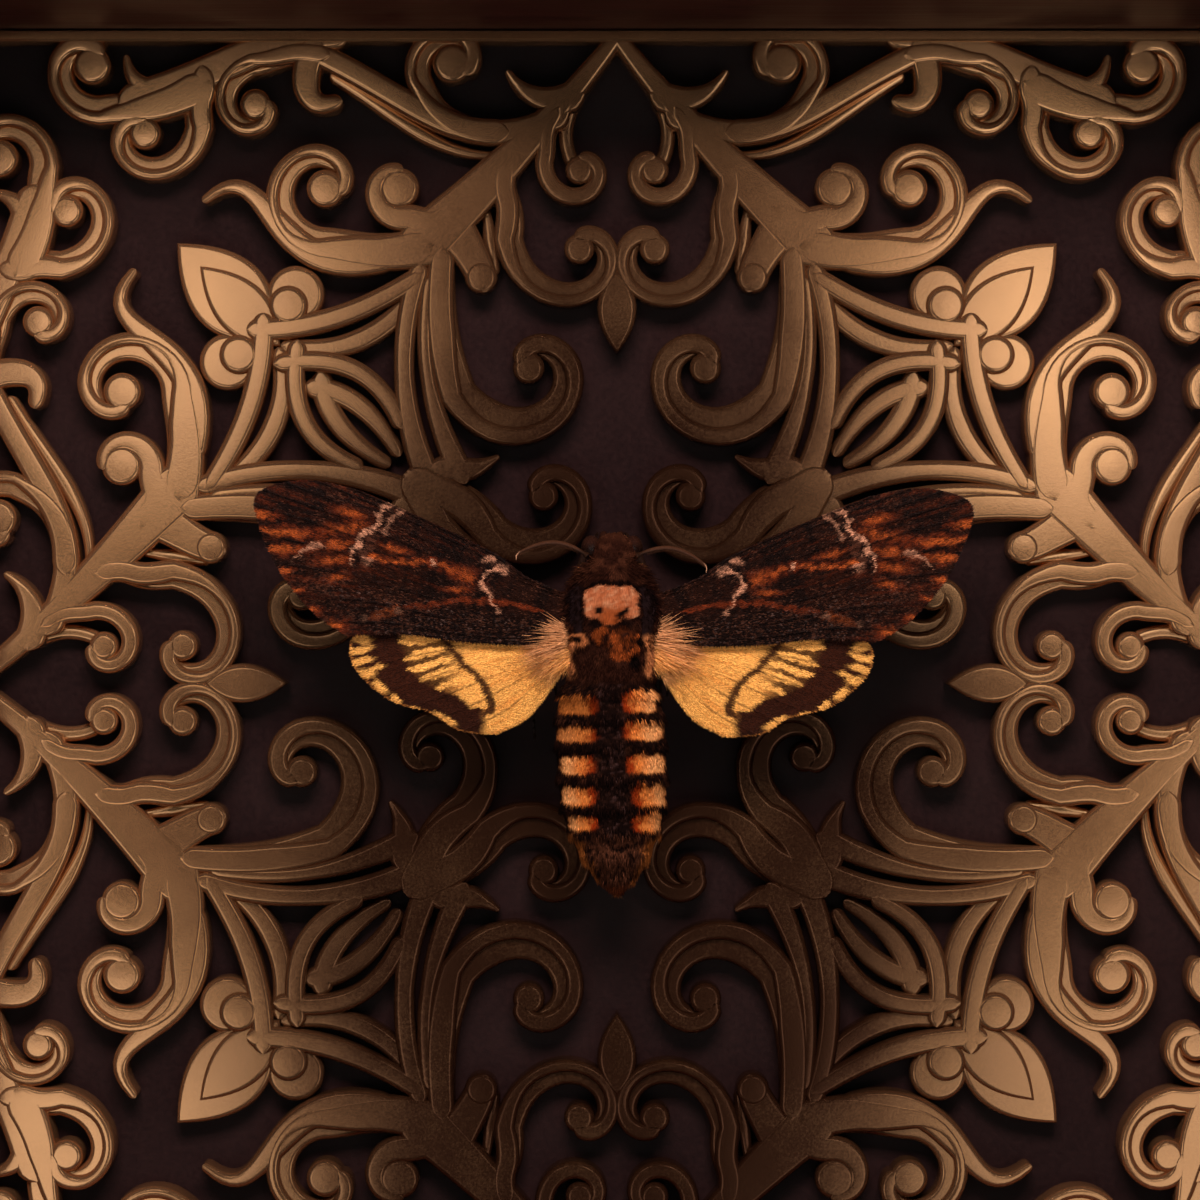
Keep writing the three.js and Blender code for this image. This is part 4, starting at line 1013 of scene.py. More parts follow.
@dataclass
class Wing:
    """One wing: a thin, veined membrane, its upper side tiled with scales and edged with a fringe."""

    pair: WingPair
    side: Side
    raised: float
    coat: bpy.types.Material
    membrane: bpy.types.Material
    span_points: int = 104
    chord_points: int = 96
    thickness: float = 0.34
    ridge: float = 0.2
    vein_half: float = 0.008
    fold: float = 0.16
    layer: float = 0.68
    rise: float = 0.04
    arch: float = 1.0
    droop: float = 1.3
    scale_pitch: float = 0.255
    scale_length: float = 0.56
    scale_half: float = 0.165
    fringe_length: float = 0.6
    fringe_count: int = 300

    @property
    def name(self) -> str:
        """The wing's node."""
        return f"{self.pair.value}_{self.side.word}"

    @property
    def plan(self) -> WingPlan:
        """The outline of its pair."""
        return FOREWING_PLAN if self.pair is WingPair.FORE else HINDWING_PLAN

    @property
    def markings(self) -> ForewingMarkings | HindwingMarkings:
        """The markings of its pair."""
        return ForewingMarkings() if self.pair is WingPair.FORE else HindwingMarkings()

    def relief(self, span: Array, chord: Array) -> Array:
        """How far the veins and the folds between them raise the upper side."""
        high = np.zeros(span.shape)
        veins, cells = self.plan.veins, self.plan.cell
        for vein, cell in zip(veins, cells):
            narrow = self.vein_half * (1.5 - 0.8 * span)
            shape = np.exp(-(((chord - vein) / narrow) ** 2)) * fade(span, cell - 0.02, cell + 0.04)
            high = np.maximum(high, shape * self.ridge * (1.15 - 0.7 * span))
        edges = np.array([0.0, *veins, 1.0])
        slot = np.clip(np.searchsorted(edges, chord, side="right") - 1, 0, len(edges) - 2)
        share = (chord - edges[slot]) / (edges[slot + 1] - edges[slot])
        fold = -self.fold * np.sin(np.pi * np.clip(share, 0, 1)) * fade(span, 0.25, 0.7)
        buckle = 0.25 * (cloud(span * 6, chord * 3, 1.0, 31 + self.side.value) - 0.5) * fade(span, 0.3, 1.0)
        return high + fold + buckle

    def surface(self, span: Array, chord: Array, lift: Array | float = 0.0, bare: bool = False) -> Array:
        """A place on the wing's middle sheet, in the moth's frame.

        Args:
            span: its share of the span.
            chord: its share of the chord.
            lift: how far above the sheet it lies.
            bare: whether veins and folds are left out.

        Returns:
            Points in (out, up, high).
        """
        place = self.plan.place(span, chord)
        reach = place[..., 0] - WING_ROOT_OUT
        sign = 1 if self.pair is WingPair.FORE else -1
        high = self.rise * reach + self.arch * np.sin(np.pi * reach / HALF_SPAN)
        high = high - self.droop * ((place[..., 1] - 3) / 15) ** 2 + sign * self.layer + lift
        if not bare:
            high = high + self.relief(span, chord)
        turn = math.radians(self.raised) * np.clip(span * 12, 0, 1)
        across, along = place[..., 0] - WING_ROOT_OUT, place[..., 1] + 2
        out = WING_ROOT_OUT + across * np.cos(turn) - along * np.sin(turn)
        up = -2 + across * np.sin(turn) + along * np.cos(turn)
        tuck = 1.7 * fade(span, 0.03, 0.0)
        return np.stack([(out - tuck) * self.side.value, up, high], -1)

    def paint(self, span: Array, chord: Array) -> Array:
        """The upper side's colours."""
        place = self.plan.place(span, chord)
        return self.markings.colours(place[..., 0], place[..., 1], span, chord)

    def build(self) -> None:
        """Makes the membrane, its scales and its fringe."""
        self.build_membrane()
        self.build_scales()
        self.build_fringe()

    def build_membrane(self) -> None:
        """The veined sheet, closed round its edge."""
        span, chord = crossed(np.linspace(0, 1, self.span_points), np.linspace(0, 1, self.chord_points))
        edge = np.minimum.reduce([(1 - span) * 2, chord, 1 - chord])
        thin = 0.25 + 0.75 * fade(edge, 0.0, 0.03)
        top = self.surface(span, chord, self.thickness / 2 * thin)
        bottom = self.surface(span, chord, -self.thickness / 2 * thin)
        count, columns = len(span), self.chord_points
        faces = grid_faces(self.span_points, columns)
        rim = [np.arange(columns), np.arange(1, self.span_points) * columns + columns - 1]
        rim += [count - 2 - np.arange(columns - 1), np.arange(self.span_points - 2, 0, -1) * columns]
        rim = np.concatenate(rim)
        after = np.roll(rim, -1)
        walls = np.stack([rim, rim + count, after + count, after], -1)
        marked = self.paint(span, chord)
        under = self.markings.under * (0.75 + 0.4 * cloud(span * 30, chord * 30, 1, 5))[:, None]
        colours = np.concatenate([marked, under * 0.8 + 0.2 * marked])
        parts = [faces[:, ::-1], faces + count, walls[:, ::-1]]
        if self.side is Side.LEFT:
            parts = [part[:, ::-1] for part in parts]
        points = moth_to_case(np.concatenate([top, bottom]))
        piece = make_piece(self.name + "_membrane", points, parts, self.membrane, colours)
        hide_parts(self.name)

    def scattered(self, pitch: float, seed: int) -> tuple[Array, Array]:
        """Shares of span and chord spread evenly over the wing, a pitch apart, with some jitter."""
        draw = np.random.default_rng(seed)
        spans, chords = [], []
        middle = self.plan.place(np.linspace(0, 1, 40), np.full(40, 0.5))
        rows = int(np.linalg.norm(np.diff(middle, axis=0), axis=1).sum() / pitch)
        for row in range(rows):
            share = (row + 0.5) / rows
            line = self.plan.place(np.full(30, share), np.linspace(0, 1, 30))
            count = max(2, int(np.linalg.norm(np.diff(line, axis=0), axis=1).sum() / pitch))
            start = 0.5 * (row % 2) + 0.25
            chords.append((np.arange(count) + start + draw.uniform(-0.3, 0.3, count)) / count)
            spans.append(share + draw.uniform(-0.35, 0.35, count) / rows)
        return np.clip(np.concatenate(spans), 0.002, 0.998), np.clip(np.concatenate(chords), 0.003, 0.997)

    def ground(self, span: Array, chord: Array) -> tuple[Array, Array, Array]:
        """Root places, normals and outward directions on the upper side."""
        step = 0.004
        top = self.thickness / 2
        place = self.surface(span, chord, top)
        before, after = (self.surface(span + move, chord, top, bare=True) for move in (-step, step))
        along = after - before
        across = self.surface(span, chord + step, top) - self.surface(span, chord - step, top)
        normal = unit(np.cross(across, along) * self.side.value)
        return place, normal, unit(along)

    def build_scales(self) -> None:
        """Overlapping scales in rows from root to margin."""
        span, chord = self.scattered(self.scale_pitch / math.sqrt(DENSITY), 40 + self.side.value)
        draw = np.random.default_rng(50 + self.side.value)
        count = len(span)
        place, normal, along = self.ground(span, chord)
        side = np.cross(normal, along)
        lie = along + side * draw.normal(0, 0.16, (count, 1))
        scatter = 0.16 if self.pair is WingPair.FORE else 0.09
        colour = self.paint(span, chord) * draw.lognormal(0, scatter, (count, 1))
        scales = Tufts(
            root=place, normal=normal, lie=lie,
            length=self.scale_length * draw.uniform(0.75, 1.2, count),
            half_width=self.scale_half * draw.uniform(0.7, 1.1, count),
            lift=draw.uniform(4, 15, count), colour=colour,
            plan=planned(span, chord),
            thick=0.08, sink=0.02, belly=1.5, root_shade=0.85, tip_shade=1.08,
        )
        piece = scales.piece(self.name + "_scales", self.coat)

    def build_fringe(self) -> None:
        """Short hair-scales that stand out from the outer margin and the trailing edge."""
        draw = np.random.default_rng(60 + self.side.value)
        half = int(self.fringe_count * DENSITY)
        span = np.concatenate([np.full(half, 0.995), np.linspace(0.12, 0.99, half)])
        chord = np.concatenate([np.linspace(0.03, 0.995, half), np.full(half, 0.996)])
        place, normal, along = self.ground(span, chord)
        step = 0.01
        outward = self.surface(span, chord) - self.surface(span, chord - step)
        lie = np.concatenate([along[:half], unit(outward)[half:] + along[half:] * 0.6])
        lie = lie + draw.normal(0, 0.12, lie.shape)
        count = len(span)
        colour = self.paint(span, chord) * draw.lognormal(0.1, 0.2, (count, 1))
        fringe = Tufts(
            root=place - unit(lie) * 0.15, normal=normal, lie=lie,
            length=self.fringe_length * draw.uniform(0.7, 1.3, count),
            half_width=np.full(count, 0.08), lift=draw.uniform(-8, 8, count), colour=colour,
            plan=planned(span, chord), thick=0.3, sink=0.12, root_shade=0.9,
        )
        piece = fringe.piece(self.name + "_fringe", self.coat)


# The body


@dataclass(frozen=True)
class BodyMarkings:
    """The coat's colours on the trunk, by place in the moth's plan."""

    brown: Array = painted(46, 24, 17)
    umber: Array = painted(82, 48, 33)
    # The grey of the painted sheen on the lobes beside the skull.
    black: Array = painted(18, 11, 10)
    slate: Array = painted(38, 27, 29)
    bone: Array = painted(204, 126, 84)
    jaw: Array = painted(168, 84, 38)
    rust: Array = painted(148, 54, 18)
    amber: Array = painted(232, 142, 68)
    straw: Array = painted(250, 190, 124)
    cream: Array = painted(222, 166, 124)
    belly: Array = painted(176, 122, 66)

    # Bands of the abdomen at each side, as (top, bottom, inner end, outer end, brightness).
    BANDS = {
        -1: (
            (-14.0, -16.5, 2.2, 8.6, 0.5), (-18.6, -20.6, 2.4, 8.8, 0.75), (-23.0, -25.5, 3.0, 8.4, 1.0),
            (-27.5, -30.2, 3.0, 8.3, 1.0), (-31.9, -34.0, 2.9, 7.6, 1.0),
        ),
        1: (
            (-13.1, -16.1, 2.0, 7.4, 1.05), (-17.8, -20.3, 1.9, 8.1, 1.1), (-22.6, -25.3, 2.2, 8.4, 1.1),
            (-27.3, -30.4, 3.0, 8.2, 0.95), (-31.6, -34.2, 2.9, 7.4, 1.05),
        ),
    }
    # Ovals that make up the skull mark.
    SKULL = (
        ((-2.0, 1.0), (2.5, 1.95), 0), ((1.8, 1.0), (2.4, 1.95), 0), ((-0.1, 1.0), (2.4, 1.85), 0),
        ((-3.1, -0.7), (1.25, 1.35), 80), ((3.1, -0.9), (1.15, 1.3), 100), ((-0.4, -1.4), (1.6, 2.1), 90),
    )
    # Raised tufts below the skull, the hollows among them, painted black as shade, and the lobes beside the
    # skull.
    LUMPS = (((-2.1, -4.5), (1.5, 1.1), -30), ((2.0, -5.9), (2.2, 1.7), 0), ((-5.0, -5.6), (1.2, 1.1), 0))
    SHADED_HOLLOWS = (((-5.4, -5.3), (0.65, 0.6)), ((4.35, -5.65), (0.8, 0.7)), ((3.7, -8.6), (1.0, 1.35)))
    LOBES = (
        ((-5.2, 2.5), (-5.75, 0.6), (-5.75, -2.0), (-5.2, -4.6)),
        ((4.9, 2.5), (5.7, 0.6), (5.85, -2.0), (5.4, -4.8)),
    )

    def skull(self, canvas: Canvas) -> Array:
        """How far each place lies in the skull mark."""
        return canvas.ovals(self.SKULL, 0.08)

    def lumps(self, canvas: Canvas) -> Array:
        """How far each place lies in the raised tufts below the skull."""
        return canvas.ovals(self.LUMPS, 0.5)

    def tegulae(self, canvas: Canvas, wide: float = 0.8) -> Array:
        """How far each place lies in the dark lobes beside the skull."""
        halves = (0.5 * wide, wide, wide, 0.5 * wide)
        left, right = (canvas.stroke(lobe, halves) for lobe in self.LOBES)
        return np.maximum(left, right)

    def colours(self, out: Array, up: Array, front: Array) -> Array:
        """The colour at each place.

        Args:
            out: how far out from the trunk's own axis it lies.
            up: how far up it lies.
            front: 1 on the side that faces the viewer, -1 on the underside.

        Returns:
            Linear colours.
        """
        canvas = Canvas.wavered(out, up, 0.5, 0.7, 43)
        mottle = cloud(out, up, 1.1, 45)
        canvas.lay(1.0, self.brown)
        canvas.lay(0.65 * fade(mottle, 0.42, 0.8) * fade(up, 2.0, 4.5), self.umber)
        canvas.lay(0.5 * fade(mottle, 0.5, 0.9), self.umber)
        canvas.lay(0.55 * fade(up, 9.2, 10.8), self.umber)
        self.lay_thorax(canvas, out, up)
        self.lay_abdomen(canvas, out, up)
        below = fade(front, 0.0, -0.45)
        canvas.lay(0.85 * below, self.belly)
        canvas.lay(0.5 * below * fade(np.abs(out), 2.2, 1.0), self.umber)
        return canvas.colours

    def lay_thorax(self, canvas: Canvas, out: Array, up: Array) -> None:
        """The skull mark, the lobes beside it and the tufts below it."""
        skull, black, jaw = self.skull(canvas), self.black, self.jaw
        canvas.lay(0.9 * self.tegulae(canvas, 1.1) * fade(up, 4, 3), black)
        # Painted sheen: greyer slate mottling on the dark lobes stands in for their blue-grey sheen.
        sheen_mottle = fade(cloud(out * 1.6, up * 0.8, 0.5, 50), 0.25, 0.65)
        canvas.lay(0.85 * self.tegulae(canvas) * sheen_mottle, self.slate)
        brow = ((-4.6, 2.2), (-2.5, 3.2), (0.0, 3.3), (2.6, 3.2), (4.5, 2.2))
        canvas.brush(0.9, black, brow, (0.35, 0.4, 0.35))
        canvas.lay(skull, self.bone)
        worn = fade(cloud(out * 1.8, up * 0.8, 0.7, 47), 0.42, 0.66)
        canvas.lay(skull * 0.8 * worn, self.bone * (0.6, 0.5, 0.45))
        grainy = skull * fade(cloud(out, up, 0.4, 46), 0.3, 0.6)
        canvas.dab(0.55 * grainy, jaw, (0.1, 0.4), (1.9, 1.6), 0, 0.7)
        canvas.lay(skull * 0.6 * fade(cloud(out * 1.5, up * 0.8, 0.4, 48), 0.52, 0.75), self.cream)
        canvas.dab(0.9 * skull, jaw * 0.85, (-0.4, -2.3), (1.9, 2.2))
        canvas.dab(0.5 * skull, self.bone * 0.8, (-0.3, 1.0), (2.2, 0.35), 4, 0.6)
        canvas.dab(0.6, jaw * 0.5, (-2.14, -0.72), (1.0, 0.85), 0, 0.4)
        canvas.dab(1.0, black, (-2.14, -0.72), (0.58, 0.55), 0, 0.2)
        canvas.brush(0.5, jaw * 0.5, ((0.9, -1.9), (1.8, -0.9), (2.6, -0.6)), (0.6, 0.75, 0.5), 0.4)
        canvas.brush(1.0, black, ((0.8, -2.1), (1.6, -1.2), (2.4, -0.7)), (0.3, 0.42, 0.34), 0.2)
        canvas.dab(0.95, black, (-2.6, -2.9), (1.3, 0.85), -10)
        canvas.dab(0.95, black, (1.9, -3.2), (1.6, 0.85), 10)
        canvas.brush(0.9, black, ((-0.5, -3.2), (-0.9, -5.2), (-0.8, -6.8)), (0.2, 0.35, 0.2))
        canvas.brush(0.9, jaw * 0.6, ((-1.3, -3.6), (-2.4, -4.6), (-2.2, -5.6)), (0.6, 0.8, 0.5))
        canvas.dab(0.8 * fade(cloud(out, up, 0.5, 49), 0.3, 0.65), jaw * 0.5, (1.8, -5.9), (2.4, 2.1), 0, 0.5)
        canvas.brush(0.95, jaw, ((4.2, -4.9), (4.0, -6.4), (2.6, -7.7), (0.4, -7.7)), (0.35, 0.5, 0.65, 0.5))
        canvas.brush(0.9, jaw * 0.85, ((0.2, -4.4), (0.5, -5.6), (1.2, -6.6)), (0.45, 0.6, 0.5))
        canvas.dab(0.9, self.cream * (0.7, 0.48, 0.32), (-5.3, -5.3), (1.25, 1.1), 0, 0.25)
        # Painted shade: black in the hollows among the tufts.
        for centre, radii in self.SHADED_HOLLOWS:
            canvas.dab(1.0, black, centre, radii, 0, 0.3)
        ragged = 0.9 * fade(cloud(out * 1.6, up * 0.6, 0.8, 53), 0.22, 0.55)
        tan = self.cream * (0.95, 0.72, 0.52)
        canvas.brush(ragged, tan, ((-6.2, -6.2), (-7.3, -6.9)), (0.5, 0.7), 0.8)
        canvas.brush(ragged, tan, ((5.8, -5.0), (6.6, -7.5), (6.2, -10.4)), (0.5, 0.9, 0.7), 0.9)
        canvas.brush(ragged, tan * 0.9, ((-7.6, -7.6), (-6.9, -9.6), (-6.4, -10.6)), (0.6, 0.8, 0.5), 0.9)

    def lay_abdomen(self, canvas: Canvas, out: Array, up: Array) -> None:
        """The bands either side of the dark stripe, and the tail."""
        start = fade(up, -11.0, -12.4)
        fine = cloud(out, up, 0.5, 51)
        canvas.lay(start * 0.9, self.black)
        canvas.lay(start * 0.6 * fade(fine, 0.5, 0.85), self.umber * 0.8)
        jag = 1.5 * (cloud(out * 2.4, up * 0.2, 1.0, 52) - 0.5)
        side = np.abs(out - 0.2)
        for sign, bands in self.BANDS.items():
            for top, bottom, inner, outer, bright in bands:
                share = np.clip((side - inner) / (outer - inner), 0, 1)
                rounded = 0.4 * (2 * share - 1) ** 6
                top, bottom = top - rounded, bottom + rounded
                inside = fade(up + jag, top + 0.3, top - 0.3)
                inside = inside * fade(up + 0.35 * jag, bottom - 0.25, bottom + 0.25)
                inside = inside * fade(side + 0.5 * (fine - 0.5), inner - 0.3, inner + 0.3) * (out * sign > 0)
                inside = inside * fade(side + 0.8 * (fine - 0.5), outer + 0.3, outer - 0.5)
                canvas.lay(inside, self.rust * bright)
                gold = fade(side + 2.2 * (fine - 0.5), inner + 0.6, inner + 2.2)
                canvas.lay(inside * gold, self.amber * bright)
                pale = fade(bright, 0.6, 1.0) * fade(side + 1.5 * (fine - 0.5), inner + 2.0, inner + 4.6)
                canvas.lay(0.8 * inside * pale, self.straw * bright)
        stripe = fade(side, 2.4, 1.4) * start
        canvas.lay(0.35 * stripe * fade(fine, 0.6, 0.85), linear(70, 62, 68))
        tail = fade(up, -34.4, -35.6)
        rim = np.abs(out) / np.interp(up, (-44.0, -41.6, -38.4, -34.7), (1.5, 3.6, 5.6, 7.5))
        canvas.lay(0.8 * tail * fade(fine, 0.25, 0.65), self.umber * (1.5, 1.6, 1.6))
        canvas.lay(0.8 * tail * fade(rim + 0.5 * (fine - 0.5), 0.68, 0.9), self.amber * 0.42)
        canvas.lay(0.5 * fade(up, -42.0, -43.4), self.jaw * 0.6)


@dataclass
class Trunk:
    """Head, thorax and abdomen under one skin, with the coat that lies on it."""

    coat: bpy.types.Material
    skin_finish: bpy.types.Material
    markings: BodyMarkings = field(default_factory=BodyMarkings)
    rings: int = 250
    around: int = 80
    sway: float = 2.2
    dip: float = 2.5
    pivot_up: float = -11.85
    pivot_out: float = -0.5
    head_shift: float = 0.35
    hem_step: float = 0.3
    tries_per_mm: float = 1200.0

    # What is blended over the skin: the skull mark, the lobes beside it and the tufts below it.
    PADS = (0.45, 0.55, 0.6)
    # Rows of (up, half width, flatness, height of the axis, depth of the coat), and the rings' edges.
    ROWS = (
        (-44.0, 0.02, 0.86, -1.7, 0.0), (-43.2, 1.5, 0.86, -1.7, 0.4), (-41.6, 3.6, 0.86, -1.7, 0.7),
        (-38.4, 5.6, 0.86, -1.7, 0.8), (-34.7, 7.5, 0.86, -1.7, 0.75), (-30.8, 8.4, 0.86, -1.7, 0.6),
        (-26.4, 8.8, 0.86, -1.7, 0.6), (-21.5, 8.85, 0.86, -1.7, 0.6), (-17.3, 8.7, 0.86, -1.7, 0.6),
        (-13.6, 8.1, 0.86, -1.7, 0.7), (-11.6, 7.0, 0.86, -1.6, 0.5), (-9.6, 7.4, 0.86, -1.5, 0.9),
        (-7.0, 7.9, 0.86, -1.5, 1.0), (-4.0, 8.05, 0.86, -1.5, 1.0), (-1.0, 7.8, 0.86, -1.5, 0.9),
        (1.4, 7.3, 0.86, -1.4, 0.8), (3.2, 6.6, 0.86, -1.2, 0.8), (5.0, 5.6, 0.88, -0.7, 0.8),
        (6.3, 4.3, 0.91, -0.2, 0.75), (7.7, 3.75, 0.95, 0.2, 0.7), (9.1, 3.4, 0.95, 0.2, 0.7),
        (10.2, 2.75, 0.95, 0.2, 0.75), (10.8, 1.7, 0.95, 0.2, 0.6), (11.05, 0.02, 0.95, 0.2, 0.0),
    )
    HEMS = (-13.6, -17.3, -21.5, -26.4, -30.8, -34.7, -38.4)

    # The coat by height: how long it is, how far it stands up in degrees and how far it spreads outwards.
    LENGTHS = (
        (-44, -40, -34, -13, -11, -7, 2, 5, 8, 11), (1.5, 1.8, 1.25, 1.1, 1.3, 1.05, 0.9, 1.0, 0.65, 0.4),
    )
    LIFTS = ((-44, -34, -14, -11, -6, 3, 6, 9, 11), (18, 10, 11, 20, 20, 24, 26, 24, 12))
    SPREADS = ((-44, -38, -12, -8, 2, 6, 10), (1.0, 0.25, 0.12, 0.5, 0.35, 0.7, 0.2))

    def rows_at(self, up: Array) -> Array:
        """Half width, flatness, height and coat depth at each height."""
        rows = np.array(self.ROWS)
        return np.stack([np.interp(up, rows[:, 0], rows[:, k]) for k in range(1, 5)], -1)

    def axis_out(self, up: Array) -> Array:
        """Where the trunk's axis lies: the abdomen sways a little to the viewer's right."""
        below = np.minimum(up - self.pivot_up, 0)
        away = self.pivot_out - below * math.sin(math.radians(self.sway))
        away = away * fade(up, self.pivot_up + 1.5, self.pivot_up - 1.0)
        return away + self.head_shift * fade(up, 4.0, 8.0)

    def hem_relief(self, up: Array) -> Array:
        """How far each ring of the abdomen stands over the next."""
        high = np.zeros(np.shape(up))
        for hem in self.HEMS:
            high = high + self.hem_step * fade(up, hem + 2.2, hem + 0.2) * fade(up, hem - 0.35, hem)
        return high

    def surface(self, up: Array, angle: Array, lift: Array | float = 0.0) -> Array:
        """A place on the skin, in the moth's frame.

        Args:
            up: how far up.
            angle: the angle round from the viewer's side, positive towards the viewer's right.
            lift: how far above the skin.

        Returns:
            Points in (out, up, high).
        """
        half, flat, height, depth = np.moveaxis(self.rows_at(up), -1, 0)
        half = np.maximum(half - depth + self.hem_relief(up), 0.01)
        axis = self.axis_out(up)
        out, high = half * np.sin(angle), half * flat * np.cos(angle)
        canvas = Canvas(out, np.broadcast_to(up, out.shape))
        facing = fade(np.cos(angle), 0.1, 0.5)
        marks = (self.markings.skull(canvas), self.markings.tegulae(canvas, 0.9), self.markings.lumps(canvas))
        pad = self.PADS[0] * marks[0] + self.PADS[1] * marks[1] + self.PADS[2] * marks[2]
        grown = 1 + (lift + pad * facing) / np.maximum(half, 0.6)
        below = np.minimum(up - self.pivot_up, 0)
        sunk = height + below * math.sin(math.radians(self.dip))
        return np.stack([axis + out * grown, np.broadcast_to(up, out.shape), sunk + high * grown], -1)

    def paint(self, up: Array, angle: Array) -> Array:
        """The coat's colours."""
        half = self.rows_at(up)[..., 0]
        return self.markings.colours(half * np.sin(angle), up, np.cos(angle))

    def build(self) -> None:
        """Makes the skin and its coat."""
        self.build_skin()
        regions = {
            "coat_head": (6.6, 11.0), "coat_collar": (2.6, 6.6), "coat_thorax": (-11.9, 2.6),
            "coat_abdomen_fore": (-27.0, -11.9), "coat_abdomen_hind": (-43.8, -27.0),
        }
        for number, (name, (low, high)) in enumerate(regions.items()):
            self.build_coat(name, low, high, 70 + number)

    def build_skin(self) -> None:
        """One closed skin from the tip of the head to the tip of the tail."""
        ups = np.linspace(self.ROWS[0][0], self.ROWS[-1][0], self.rings)
        up, angle = crossed(ups, np.linspace(-math.pi, math.pi, self.around, endpoint=False))
        points, faces = moth_to_case(self.surface(up, angle)), capped_grid(self.rings, self.around)
        piece = make_piece("body_skin", points, faces, self.skin_finish, self.paint(up, angle) * 0.6)
        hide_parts("head", "collar", "thorax", "skull_mark", "tegula_left", "tegula_right", "abdomen")

    def build_coat(self, name: str, low: float, high: float, seed: int) -> None:
        """The coat between two heights.

        Args:
            name: the piece's name.
            low: its lower end.
            high: its upper end.
            seed: what its draws start from.
        """
        draw = np.random.default_rng(seed)
        tries = int((high - low) * self.tries_per_mm * DENSITY)
        up = draw.uniform(low, high, tries)
        angle = draw.uniform(-math.pi, math.pi, tries)
        half = self.rows_at(up)[:, 0]
        sparse = np.where(np.cos(angle) > -0.25, 1.0, 0.45)
        keep = draw.uniform(0, 1, tries) < sparse * (half + 0.8) / 9.4
        up, angle = up[keep], angle[keep]
        count = len(up)
        step = 0.02
        place = self.surface(up, angle)
        tailward = unit(self.surface(up - step, angle) - self.surface(up + step, angle))
        across = unit(self.surface(up, angle + step) - self.surface(up, angle - step))
        normal = unit(np.cross(tailward, across))
        normal = normal * np.sign(np.sum(normal * (place - self.axis(up)), -1, keepdims=True))
        length, lift, lie = self.comb(up, angle, tailward, across, draw)
        drawn = up + 0.5 * length * unit(lie)[:, 1]
        colour = self.paint(drawn, angle) * draw.lognormal(0.0, 0.24, (count, 1))
        long = self.ROWS[-1][0] - self.ROWS[0][0]
        plan = planned((angle + math.pi) / (2 * math.pi), (up - self.ROWS[0][0]) / long)
        width = np.where(up < -11.5, 0.092, 0.08) * draw.uniform(0.7, 1.3, count)
        hair = Tufts(place, normal, lie, length, width, lift, colour, plan)
        piece = hair.piece(name, self.coat)
        log.info("%s: %d blades", name, count)

    def axis(self, up: Array) -> Array:
        """The trunk's axis at each height."""
        height = self.rows_at(up)[:, 2] + np.minimum(up - self.pivot_up, 0) * math.sin(math.radians(self.dip))
        return np.stack([self.axis_out(up), up, height], -1)

    def comb(
        self, up: Array, angle: Array, tailward: Array, across: Array, draw: np.random.Generator,
    ) -> tuple[Array, Array, Array]:
        """How long each hair is, how far it stands up and which way it lies.

        Args:
            up: its height.
            angle: its angle round the trunk.
            tailward: the direction to the tail there.
            across: the direction round the trunk there.
            draw: the generator that its draws come from.

        Returns:
            Lengths, lifts in degrees and directions.
        """
        count = len(up)
        half = self.rows_at(up)[:, 0]
        canvas = Canvas(half * np.sin(angle), up)
        short = np.maximum(self.markings.skull(canvas), self.markings.tegulae(canvas))
        length = np.interp(up, *self.LENGTHS)
        lift = np.interp(up, *self.LIFTS)
        length = length * (1 - 0.45 * short)
        lift = lift * (1 - 0.6 * short)
        flank = fade(np.abs(np.sin(angle)), 0.75, 0.98)
        length = length * (1 + 0.35 * flank * fade(up, -12, -9))
        ruff = fade(np.abs(np.sin(angle)), 0.6, 0.92) * fade(up, -3.5, -1.0) * fade(up, 7.4, 6.0)
        length = length * (1 + 0.7 * ruff)
        lift = lift + 16 * ruff
        for hem in self.HEMS:
            length = length * (1 + 0.35 * np.exp(-(((up - hem - 0.5) / 0.6) ** 2)))
        headward = fade(up, 6.2, 7.4)[:, None]
        lie = tailward * (1 - 2 * headward)
        spread = np.interp(up, *self.SPREADS)
        lie = lie + across * (np.sin(angle) * spread * 0.9)[:, None]
        swirl = 0.9 * (cloud(canvas.out, up, 2.2, 61) - 0.5) * np.where(up > -12, 1.0, 0.35)
        lie = lie + across * (swirl + draw.normal(0, 0.16, count))[:, None]
        length = length * draw.uniform(0.65, 1.25, count)
        lift = lift * draw.uniform(0.4, 1.5, count)
        return length, lift, lie


